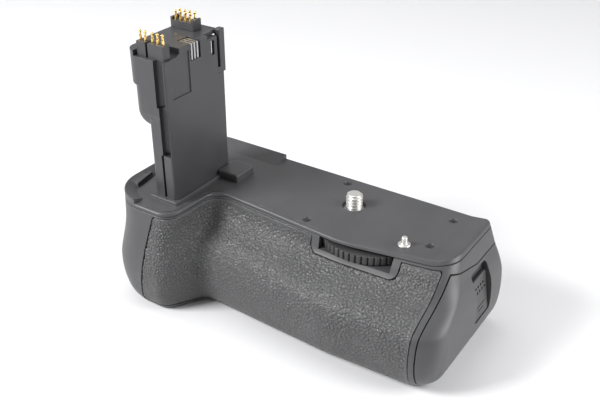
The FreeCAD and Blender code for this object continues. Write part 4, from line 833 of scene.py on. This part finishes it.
def front_grain(point, normal):
    """How deep the grain is on the front rubber: full on the slope, less near the foot, none at its edges."""
    inside = min(point.x - GRAIN_X[0], GRAIN_X[1] - point.x, point.z - GRAIN_Z[0], GRAIN_Z[1] - point.z)
    outward = between(normal.dot(GRAIN_FACING), -0.35, 0.15)
    foot = FOOT_GRAIN + (1 - FOOT_GRAIN) * between(point.z, *FOOT_GRAIN_Z)
    return outward * foot * between(inside, 0.0, GRAIN_FADE)


class GRIP_OT_front_rubber(Operator):
    """Leather-grained rubber of the handle and the nose"""

    bl_idname = "grip.front_rubber"
    bl_label = "Front rubber"

    def execute(self, context):
        sizes, look = context.scene.grip_body, context.scene.grip_finishes
        skin = body_solid("grip_skin", -2.0, DECK_Z + 2, 0.1, 0.1)
        core = body_solid("skin_core", -3.0, DECK_Z + 4, 0.1, 0.1, sizes.rubber_depth / MM + 0.05)
        skin = carve(shared(skin, rubber_zone("skin_zone", 0.05)), core)
        grained(skin, sizes.rubber_step, look, front_grain)
        dress(skin, "leather_rubber", "root", "front_rubber")
        return {"FINISHED"}


def leaning(name, out, across, along, radius=0.0):
    """A plate that leans with the latch, between limits outwards, across and along the latch's slope."""
    lean = Matrix.Rotation(-LATCH_LEAN, 3, "Y")
    outline = rounded(oblong(across, along, radius))
    return loft(name, [[LATCH_FOOT + lean @ Vector((x, y, z)) for y, z in outline] for x in out])


class GRIP_OT_end_cap(Operator):
    """End cap of the magazine, and its latch"""

    bl_idname = "grip.end_cap"
    bl_label = "End cap and latch"

    def execute(self, context):
        sizes = context.scene.grip_body
        left_x = MOUTH_X + sizes.cap_gap / MM
        cap = body_solid("cap_moulding", 0.0, DECK_Z, sizes.foot_edge / MM, 0.5)
        cap = shared(cap, cap_zone("cap_zone", left_x, 0.0))
        carve(
            cap,
            block("tray_room", (left_x - 1, TRAY_X[1]), TRAY_Y, TRAY_Z),
            leaning("latch_recess", (-1.7, 5.0), (-6.5, 6.5), (-0.3, 20.1), 1.6),
            block("tongue_slot", (49.7, 52.8), (-4.5, 2.1), (21.7, 26.5)),
        )
        dress(shade(cap), "satin_housing", "magazine", "end_cap")

        plate = soften(leaning("latch_slide", (-1.4, 0.0), (-6.2, 6.2), (0.0, 16.4), 1.5), 0.3, 3)
        marks = []
        for row, count in LATCH_DOT_ROWS:
            for k in range(count):
                middle = (k - (count - 1) / 2) * LATCH_DOT_STEP
                across, along = [(at - LATCH_DOT / 2, at + LATCH_DOT / 2) for at in (middle, row)]
                marks.append(leaning("dot", (-0.35, 1.0), across, along, 0.5))
        for row, half in LATCH_LINES:
            marks.append(leaning("line", (-0.3, 1.0), (-half, half), (row - 0.2, row + 0.2), 0.15))
        carve(plate, *marks)
        joined(plate, block("tongue", (50.6, 52.8), (-4.2, 1.8), (22.0, 22.8)))
        dress(shade(plate), "control_plastic", "magazine_latch", "magazine_latch")
        return {"FINISHED"}


# The post and its contacts


# Heights of the post's forms, and the places of its clip and terminals
WAIST_Z, HEAD_Z = DECK_Z + 28.4, DECK_Z + 44.6
SHELF_Z, POST_TOP_Z = DECK_Z + 56.0, DECK_Z + 59.0
GROOVE_Z, SLIM_GROOVE_Z = DECK_Z + 38.0, DECK_Z + 19.0
CLIP_X, CLIP_Z = -59.6, DECK_Z + 42.6
TERMINAL_X, TERMINAL_REACH = POST_RIGHT_X - 0.8, 6.0
TERMINAL_Z = (DECK_Z + 52.4, DECK_Z + 58.2)
TERMINALS_Y, TERMINAL_WIDTH, TERMINAL_PLATE = (-20.95, -19.35, -17.75), 0.76, 0.5


def post_part(name, left_x, low, high, foot, top):
    """The post's broad plan between two heights; its foot draws in as an ellipse, its top edge is round."""
    across, upright = foot
    rows = [(low + upright * rise, across * cut) for cut, rise in quarter(1.0, 8)]
    rows += [(high - rise, cut) for cut, rise in quarter(top)[::-1]]
    rings = []
    for height, inset in rows:
        front_y, back_y, left = POST_FRONT_Y + inset, POST_BACK_Y - inset * 0.2, left_x + inset
        corners = [(POST_RIGHT_X, front_y, POST_CORNER), (POST_RIGHT_X, back_y, POST_CORNER),
                   (left, back_y, WAIST_BEND), (left, front_y, POST_BEND)]
        rings.append([(x, y, height) for x, y in rounded(corners, 0.0, (3, 3, 8, 10))])
    return loft(name, rings)


def front_groove(name, left, right, depth, low, high, bend):
    """A cutter for an upright groove in the post's front, between two heights."""
    front_y, back_y = POST_FRONT_Y - 2, POST_FRONT_Y + depth
    corners = [(left, front_y, 0), (right, front_y, 0), (right, back_y, 0.2), (left, back_y, bend)]
    return slab(name, rounded(corners), low, high)


class GRIP_OT_post(Operator):
    """Battery post: moulding, clip and terminals"""

    bl_idname = "grip.post"
    bl_label = "Battery post"

    def execute(self, context):
        leg = slab("post_leg", post_outline(0.0), DECK_Z - 8.0, DECK_Z + 33.0)
        waist = post_part("post_waist", WAIST_X, WAIST_Z, DECK_Z + 46.0, (4.2, 6.5), 0.1)
        head = post_part("post_head", POST_LEFT_X, HEAD_Z, POST_TOP_Z, (0.7, 1.0), 0.5)
        post = joined(leg, waist, head)
        shelf = [(-FAR, SHELF_Z, 0), (-28.0, SHELF_Z, 2.0), (-28.0, FAR, 0), (-FAR, FAR, 0)]
        terminal_y = (-22.2, -16.5)
        (face_low, face_high), fold_x = TERMINAL_Z, POST_RIGHT_X - TERMINAL_REACH
        carve(
            post,
            slab("shelf_room", rounded(shelf), -71.4, FAR, "right"),
            block("left_shoulder_room", (-FAR, -71.0), (-FAR, -28.5), (SHELF_Z + 2.0, FAR)),
            front_groove("groove", -62.1, -57.8, 2.4, GROOVE_Z, SHELF_Z + 1.0, 1.7),
            front_groove("lower_groove", -61.2, -57.35, 2.4, SLIM_GROOVE_Z, GROOVE_Z + 0.1, 1.7),
            front_groove("slim_groove", -62.0, -60.9, 1.2, DECK_Z + 1.3, SLIM_GROOVE_Z + 0.1, 0.4),
            block("panel", (POST_RIGHT_X - 0.4, FAR), (-33.0, -23.0), (DECK_Z + 41.0, SHELF_Z + 0.9)),
            block("slit", (-60.0, FAR), (-10.4, -8.6), (DECK_Z + 51.0, SHELF_Z + 0.5)),
            block("niche", (-68.0, -58.3), (-12.5, FAR), (DECK_Z + 43.5, SHELF_Z + 1.5)),
            block("clip_notch", (CLIP_X, FAR), (-7.0, FAR), (CLIP_Z, FAR)),
            block("plate_notch", (-59.2, FAR), (-12.4, FAR), (SHELF_Z + 1.6, FAR)),
            block("terminal_side", (TERMINAL_X, FAR), terminal_y, (face_low, FAR)),
            block("terminal_top", (fold_x, FAR), terminal_y, (face_high, FAR)),
            block("rear_well", (-73.8, -65.4), (-11.0, -7.4), (DECK_Z + 57.9, FAR)),
        )
        soften(post, 0.16)
        dress(post, "post_plastic", "root", "post_core", "post_side_plate")

        finger = block("clip_finger", (CLIP_X, POST_RIGHT_X), (-5.4, -2.3), (CLIP_Z, POST_TOP_Z + 0.5))
        foot = block("clip_foot", (CLIP_X, POST_RIGHT_X), (-7.0, -2.4), (CLIP_Z, CLIP_Z + 2.4))
        clip = joined(soften(finger, 0.35, 3), soften(foot, 0.2))
        dress(shade(clip), "post_plastic", "root", "rear_clip")

        strips = []
        out_x, over = TERMINAL_X + TERMINAL_PLATE, face_high + TERMINAL_PLATE
        for middle in TERMINALS_Y:
            y = (middle - TERMINAL_WIDTH / 2, middle + TERMINAL_WIDTH / 2)
            upright = block("upright", (TERMINAL_X, out_x), y, (face_low, over))
            fold = block("fold", (fold_x, out_x), y, (face_high, over))
            strips.append(soften(joined(upright, fold), 0.15))
        dress(merged("terminals", strips), "terminal_metal", "root", "terminal_strips")
        return {"FINISHED"}


FRONT_PINS = [(x, -33.25) for x in (-69.9, -67.5, -64.2, -61.8, -59.4)]
REAR_PINS_AT, REAR_PIN_STEP = (-69.6, -9.2), 2.4
REAR_PINS = [(REAR_PINS_AT[0] + REAR_PIN_STEP * across, REAR_PINS_AT[1] + REAR_PIN_STEP * along)
             for along in (-0.5, 0.5) for across in (-1.5, -0.5, 0.5, 1.5)]
SCREW_RADIUS, GUIDE_PIN_AT = 3.175, (28.4, -13.9)
# The thread's rows of points, and how its tip draws in
THREAD_ROW, TIP_LENGTH, TIP_DRAW, TIP_END = 0.07, 0.9, 0.75, 1.6
# Radius, height and edge of the cover screws' heads, with half the length and width of their crosses
HEAD_RADIUS, HEAD_HEIGHT, HEAD_EDGE = 1.4, 0.55, 0.15
CROSS_REACH, CROSS_WIDTH = 0.95, 0.17


class GripDetailSizes(PropertyGroup):
    """Small metal parts and marks."""

    pin_radius: FloatProperty(name="Pin", description="Radius of a contact pin",
                              default=0.54 * MM, unit="LENGTH")
    thread_pitch: FloatProperty(name="Thread pitch", description="Pitch of the attachment screw's thread",
                                default=1.27 * MM, unit="LENGTH")
    thread_depth: FloatProperty(name="Thread depth", description="Depth of the attachment screw's thread",
                                default=0.72 * MM, unit="LENGTH")
    thread_steps: IntProperty(name="Thread steps", description="Points round the thread", default=72, min=16)


def contact_pins(name, body, places, low, high):
    """Spring pins with rounded heads and a waist, as one piece for the CAD node named as their body."""
    radius = bpy.context.scene.grip_details.pin_radius / MM
    waist, top = radius * 0.72, high - low
    profile = [(radius, 0), (radius, top - 2.4), (waist, top - 2.1), (waist, top - 1.1)]
    swell = enumerate((0.2, 0.8, 1.4, 1.57))
    profile += [(waist + 0.18 * math.sin(a), top - 0.9 + 0.15 * k) for k, a in swell]
    profile += [(radius * 0.80, top - 0.22), (radius * 0.5, top - 0.06), (radius * 0.12, top)]
    pins = [turned("pin", profile, (x, y, low), Z, 20) for x, y in places]
    return dress(shade(merged(name, pins)), "contact_gold", body, body)


class GRIP_OT_contacts(Operator):
    """Contact pins and their housings"""

    bl_idname = "grip.contacts"
    bl_label = "Contacts"

    def execute(self, context):
        dressed_copy("front_contact_housings", "front_pin_blocks", "contact_plastic", "root", 0.15)
        dressed_copy("rear_contact_housing", "rear_pin_block", "contact_plastic", "root", 0.15)
        dressed_copy("chamber_contacts", "chamber_contact_block", "contact_plastic", "root", 0.2)
        dressed_copy("tray_contacts", "tray_contact_plate", "contact_gold", "magazine", 0.1)
        contact_pins("front_pins", "front_contact_pins", FRONT_PINS, 99.4, 107.2)
        contact_pins("rear_pins", "rear_contact_pins", REAR_PINS, 101.2, 107.6)
        return {"FINISHED"}


# The lock wheel, the attachment screw and the guide pin


def thread_mesh(name, low, high):
    """A threaded shank round the frame's upright axis, with a tip that draws in over its last stretch."""
    details = bpy.context.scene.grip_details
    pitch, depth, steps = details.thread_pitch / MM, details.thread_depth / MM, details.thread_steps
    rows = int((high - low) / THREAD_ROW)
    angles = [math.tau * step / steps for step in range(steps)]
    rings = []
    for k in range(rows + 1):
        height = low + (high - low) * k / rows
        tip = max(0.0, (height - (high - TIP_LENGTH)) / TIP_LENGTH)
        crest = SCREW_RADIUS - TIP_DRAW * (1 - math.sqrt(max(0.0, 1 - tip * tip)))
        turn = []
        for step, angle in enumerate(angles):
            phase = ((height - low) / pitch - step / steps) % 1.0
            cut = between(abs(phase - 0.5) * 2, 0.12, 0.88) * depth * (1 - tip) + depth * 0.5 * tip
            r = crest - cut
            turn.append((r * math.cos(angle), r * math.sin(angle), height))
        rings.append(turn)
    rings.append([(TIP_END * math.cos(angle), TIP_END * math.sin(angle), high) for angle in angles])
    return loft(name, rings)


class GRIP_OT_screw_and_pin(Operator):
    """Threaded attachment screw, guide pin and the four cover screws"""

    bl_idname = "grip.screw_and_pin"
    bl_label = "Attachment screw and pins"

    def execute(self, context):
        shank = thread_mesh("screw_thread", 40.4, 47.2)
        profile = [(3.9, 39.6), (4.1, 39.75), (4.1, 40.3), (3.95, 40.5), (3.3, 40.5)]
        collar = turned("screw_collar", profile, (0, 0, 0), Z, 64)
        screw = merged("attachment_screw_dressed", [shank, collar])
        dress(shade(screw, 50), "bright_nickel", "attachment_screw", "attachment_screw")

        profile = [(2.25, 0), (2.3, 0.15), (2.3, 0.4), (2.05, 0.65), (1.3, 0.8), (1.1, 1.0), (1.1, 2.9),
                   (0.95, 3.25), (0.65, 3.4)]
        pin = turned("guide_pin_dressed", profile, (*GUIDE_PIN_AT, DECK_Z), Z, 40)
        dress(shade(pin, 50), "bright_nickel", "root", "guide_pin")

        for i, (x, y) in enumerate(COVER_SCREWS, start=1):
            seat = (x, y, COVER_Z + 0.31)
            head = soft_rod(f"cover_screw_{i}", seat, HEAD_RADIUS, HEAD_HEIGHT, HEAD_EDGE, Z, 28)
            turn = 0.4 + i * 0.7
            for angle in (turn, turn + math.pi / 2):
                middle = Vector((x, y))
                long = Vector((math.cos(angle), math.sin(angle))) * CROSS_REACH
                wide = Vector((-math.sin(angle), math.cos(angle))) * CROSS_WIDTH
                cross = [middle - long - wide, middle + long - wide, middle + long + wide,
                         middle - long + wide]
                carve(head, slab("cross", cross, COVER_Z + 0.5, COVER_Z + 2))
            dress(shade(head), "contact_plastic", "root", slot="steel")
        return {"FINISHED"}


class GRIP_OT_lock_wheel(Operator):
    """Ribbed lock wheel with its gears and spindle"""

    bl_idname = "grip.lock_wheel"
    bl_label = "Lock wheel and gears"

    def execute(self, context):
        dressed_copy("lock_wheel", "lock_wheel_ribbed", "control_plastic", "lock_wheel", 0.14)
        dressed_copy("wheel_gear", "wheel_gear_moulded", "gear_plastic", "lock_wheel", 0.08)
        dressed_copy("screw_gear", "screw_gear_moulded", "gear_plastic", "attachment_screw", 0.08)
        dressed_copy("wheel_spindle", "wheel_spindle_turned", "turned_steel", "root", 0.15)
        return {"FINISHED"}


class GRIP_OT_corner_controls(Operator):
    """Shutter button and main dial on the sloped facet"""

    bl_idname = "grip.corner_controls"
    bl_label = "Shutter button and dial"

    def execute(self, context):
        at = facet_point(SHUTTER_Y)
        dome = [(5.4, -2.4), (5.4, 0.35), (5.25, 0.75), (4.85, 1.05), (4.2, 1.2), (3.2, 1.12), (1.6, 0.98),
                (0.3, 0.95)]
        button = turned("shutter_button_domed", dome, at, FACET, 56)
        dress(shade(button, 60), "control_plastic", "shutter_button", "shutter_button")
        lip = [(5.75, -1.9), (6.78, -1.9), (6.78, 0.1), (6.6, 0.32), (6.25, 0.4), (5.9, 0.32), (5.75, 0.1)]
        collar = hoop("shutter_ring", lip, at, FACET, 64)
        dress(shade(collar), "control_plastic", "root", slot="housing_black")
        dressed_copy("main_dial", "main_dial_ribbed", "control_plastic", "main_dial", 0.14)
        dressed_copy("dial_spindle", "dial_spindle_turned", "turned_steel", "root", 0.1)
        return {"FINISHED"}


def panel(name, corners, rows):
    """A plate on the back through rows of (inset, y)."""
    return loft(name, [[(x, y, z) for x, z in rounded(corners, inset, (8,) * 4)] for inset, y in rows])


def thumb_grain(point, normal):
    """How deep the grain is on the thumb rest: full on its face, none at its edges and its sides."""
    (left, low), (right, high) = THUMB_REST[0][:2], THUMB_REST[2][:2]
    across = abs(point.x - (left + right) / 2) / ((right - left) / 2)
    upright = abs(point.z - (low + high) / 2) / ((high - low) / 2)
    return between(normal.y, 0.0, 0.5) * between(1.0 - max(across, upright), 0.0, 1 / 6)


class GRIP_OT_back(Operator):
    """Rear cover, thumb rest, thumb buttons and power switch"""

    bl_idname = "grip.back"
    bl_label = "Back"

    def execute(self, context):
        sizes, look = context.scene.grip_body, context.scene.grip_finishes
        rows = ((0, REAR_PANEL_Y), (0, BACK_Y - 0.35), (0.12, BACK_Y - 0.1), (0.35, BACK_Y))
        cover = panel("back_cover", REAR_PANEL, rows)
        carve(
            cover,
            slab("rest_room", rounded(THUMB_REST, -0.05, (8,) * 4), BACK_Y - 0.8, FAR, "back"),
            block("thumb_room", (-68.2, -39.8), (BACK_Y - 3.4, BACK_Y - 1.05), (6.3, 15.7)),
            *[rod("bore", (x, BACK_Y - 4, BUTTONS_Z), BUTTON_BORE, 8, Y) for x in BUTTONS_X],
            rod("pivot_bore", (SWITCH_X, BACK_Y - 4, BUTTONS_Z), SWITCH_BORE, 8, Y),
            block("key_room", (-27, -21), (BACK_Y - 3.4, BACK_Y - 1.2), (8, 14)),
        )
        dress(shade(cover), "satin_housing", "root", "rear_cover")

        rows = ((0.0, BACK_Y - 0.8), (0.0, BACK_Y + 0.5), (0.25, BACK_Y + 0.95), (0.8, BACK_Y + 1.2))
        rest = panel("thumb_pad", THUMB_REST, rows)
        grained(rest, sizes.thumb_step, look, thumb_grain)
        dress(rest, "leather_rubber", "root", "thumb_rest")
        for side in ("left", "middle", "right"):
            name = f"{side}_thumb_button"
            dressed_copy(name, f"{name}_moulded", "control_plastic", name, 0.15, 3)
        dressed_copy("power_switch", "power_lever", "control_plastic", "power_switch", 0.2, 3)
        return {"FINISHED"}


class GRIP_OT_inside(Operator):
    """Magazine with its battery packs, circuit board and tripod socket"""

    bl_idname = "grip.inside"
    bl_label = "Magazine and inner parts"

    def execute(self, context):
        dressed_copy("magazine_tray", "tray_moulding", "post_plastic", "magazine", 0.25)
        for side in ("left", "right"):
            node = f"{side}_battery"
            pack = soften(copy_of(node, f"{side}_battery_pack"), 1.2, 4)
            low, high = [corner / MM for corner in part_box(node)]
            across, along = [(low[k] + LABEL_INSET, high[k] - LABEL_INSET) for k in (0, 1)]
            label = slab("label", rounded(oblong(across, along, 2)), high.z - LABEL_DEPTH, high.z + 1)
            dress(shade(carve(pack, label)), "pack_plastic", "magazine", node)
        dressed_copy("circuit_board", "board_with_chips", "board_lacquer", "root", 0.1)
        dressed_copy("tripod_socket", "tripod_socket_turned", "turned_steel", "root", 0.3, 3)
        return {"FINISHED"}


# The studio


# The middle of the part, in metres, which the softboxes look at
MIDDLE = (-0.01, -0.01, 0.03)
# Each light's place, the point that it looks at, and its width and depth, in metres
LIGHTS = {
    "key": ((-0.54, -0.60, 0.60), MIDDLE, (0.34, 0.34)),
    "top": ((-0.25, 0.12, 1.00), MIDDLE, (0.70, 0.50)),
    "side": ((0.80, 0.30, 0.60), MIDDLE, (0.60, 0.60)),
    "card": ((0.28, 0.04, 0.10), (0.055, -0.015, 0.02), (0.18, 0.18)),
}
# The paper sweep: how far its flat floor reaches from the part, its bend, its top and half its width
FLOOR_NEAR, FLOOR_FAR, BEND_RADIUS, PAPER_TOP, PAPER_REACH = -650.0, 700.0, 500.0, 2200.0, 1500.0
BEND_STEPS = 12


class GripStageSettings(PropertyGroup):
    """Camera, lights and the white room."""

    azimuth: FloatProperty(name="Azimuth", description="Turn of the view from the front towards the end cap",
                           default=math.radians(33.608), subtype="ANGLE")
    elevation: FloatProperty(name="Elevation", description="How far the camera looks down",
                             default=math.radians(30.367), subtype="ANGLE")
    eye: FloatVectorProperty(name="Eye", description="Place of the camera", size=3, subtype="TRANSLATION",
                             unit="LENGTH", default=(0.134603, -0.239540, 0.204576))
    lens: FloatProperty(name="Lens", description="Focal length", default=50.585, unit="CAMERA")
    key_power: FloatProperty(name="Key light", description="Softbox at the left front",
                             default=12.5, unit="POWER")
    top_power: FloatProperty(name="Top light", description="Large softbox overhead",
                             default=2.4, unit="POWER")
    side_power: FloatProperty(name="Side light", description="Softbox at the right",
                              default=6.0, unit="POWER")
    card_power: FloatProperty(name="Card", description="Small card beside the end cap",
                              default=0.36, unit="POWER")
    world: FloatProperty(name="Studio white", description="Light from the white room", default=0.28)


def aimed(name, data, at, way):
    """A camera or a light at a place, in metres, looking along a direction."""
    made = new_object(name, data)
    made.location = at
    made.rotation_mode = "QUATERNION"
    made.rotation_quaternion = way.to_track_quat("-Z", "Y")
    return made


def softbox(name, at, towards, size, power):
    """A rectangular area light that looks at a point."""
    light = bpy.data.lights.new(name, "AREA")
    light.shape = "RECTANGLE"
    light.size, light.size_y = size
    light.energy = power
    return aimed(name, light, at, Vector(towards) - Vector(at))


def paper_sweep(view):
    """A white floor that bends up behind the part, square to the camera's view."""
    along = Vector((view.x, view.y, 0)).normalized()
    across = Vector((along.y, -along.x, 0)) * PAPER_REACH
    bend = [math.pi / 2 * k / BEND_STEPS for k in range(1, BEND_STEPS + 1)]
    profile = [(FLOOR_NEAR, 0.0), (FLOOR_FAR, 0.0)]
    profile += [(FLOOR_FAR + BEND_RADIUS * math.sin(a), BEND_RADIUS * (1 - math.cos(a))) for a in bend]
    profile.append((FLOOR_FAR + BEND_RADIUS, PAPER_TOP))

    def make(build):
        rows = [[build.verts.new(along * reach + side + Z * rise) for side in (-across, across)]
                for reach, rise in profile]
        for low, high in zip(rows, rows[1:]):
            build.faces.new((low[0], low[1], high[1], high[0]))

    floor = new_piece("studio_sweep", make)
    floor.data.shade_smooth()
    return floor


def studio_paper():
    """Smooth white paper."""
    paper = bpy.data.materials.new("studio_paper")
    paper.use_nodes = True
    shader = paper.node_tree.nodes["Principled BSDF"]
    shader.inputs["Base Color"].default_value = (0.78, 0.78, 0.79, 1)
    shader.inputs["Roughness"].default_value = 0.28
    shader.inputs["Specular IOR Level"].default_value = 0.35
    return paper


def studio_room(strength):
    """A world that the camera sees as white, and that lights the part with less."""
    world = bpy.data.worlds.new("studio_white")
    world.use_nodes = True
    tree = world.node_tree
    background = tree.nodes["Background"]
    background.inputs["Color"].default_value = (1, 1, 1, 1)
    rays = add_node(tree, "ShaderNodeLightPath", (-600, 0)).outputs["Is Camera Ray"]
    seen = add_node(tree, "ShaderNodeMapRange", (-300, 0), Value=rays, To_Min=strength)
    tree.links.new(seen.outputs["Result"], background.inputs["Strength"])
    return world


class GRIP_OT_stage(Operator):
    """White floor, soft lights and the camera"""

    bl_idname = "grip.stage"
    bl_label = "Studio"

    def execute(self, context):
        scene = context.scene
        stage = scene.grip_stage
        level = math.cos(stage.elevation)
        view = Vector((-math.sin(stage.azimuth) * level, math.cos(stage.azimuth) * level,
                       -math.sin(stage.elevation)))
        lens = bpy.data.cameras.new("camera")
        lens.sensor_width = 36.0
        lens.lens = stage.lens
        lens.clip_start = 0.01
        scene.camera = aimed("camera", lens, stage.eye, view)
        floor = paper_sweep(view)
        floor.data.materials.append(studio_paper())
        for name, (at, towards, size) in LIGHTS.items():
            softbox(name, at, towards, size, getattr(stage, f"{name}_power"))
        scene.world = studio_room(stage.world)
        scene.view_settings.view_transform = "Standard"
        return {"FINISHED"}


OPERATORS = (
    GRIP_OT_stage,
    GRIP_OT_shell,
    GRIP_OT_deck,
    GRIP_OT_front_rubber,
    GRIP_OT_end_cap,
    GRIP_OT_post,
    GRIP_OT_contacts,
    GRIP_OT_screw_and_pin,
    GRIP_OT_lock_wheel,
    GRIP_OT_corner_controls,
    GRIP_OT_back,
    GRIP_OT_inside,
)
SETTINGS = {
    "grip_body": GripBodySizes,
    "grip_details": GripDetailSizes,
    "grip_finishes": GripFinishes,
    "grip_stage": GripStageSettings,
}


class GRIP_PT_panel(Panel):
    """Sizes, finishes and the steps that dress the grip"""

    bl_idname = "GRIP_PT_panel"
    bl_label = "Battery grip"
    bl_space_type = "VIEW_3D"
    bl_region_type = "UI"
    bl_category = "Grip"

    def draw(self, context):
        for name in SETTINGS:
            box = self.layout.box()
            group = getattr(context.scene, name)
            for prop in group.__annotations__:
                box.prop(group, prop)
        for operator in OPERATORS:
            self.layout.operator(operator.bl_idname)


def register():
    """Register the settings, the operators and the panel."""
    for kind in (*SETTINGS.values(), *OPERATORS, GRIP_PT_panel):
        bpy.utils.register_class(kind)
    for name, kind in SETTINGS.items():
        setattr(bpy.types.Scene, name, PointerProperty(type=kind))


def unregister():
    """Remove what register added."""
    for name in SETTINGS:
        delattr(bpy.types.Scene, name)
    for kind in reversed((*SETTINGS.values(), *OPERATORS, GRIP_PT_panel)):
        bpy.utils.unregister_class(kind)


def main():
    register()
    for operator in OPERATORS:
        group, name = operator.bl_idname.split(".")
        getattr(getattr(bpy.ops, group), name)()


if __name__ == "__main__":
    main()
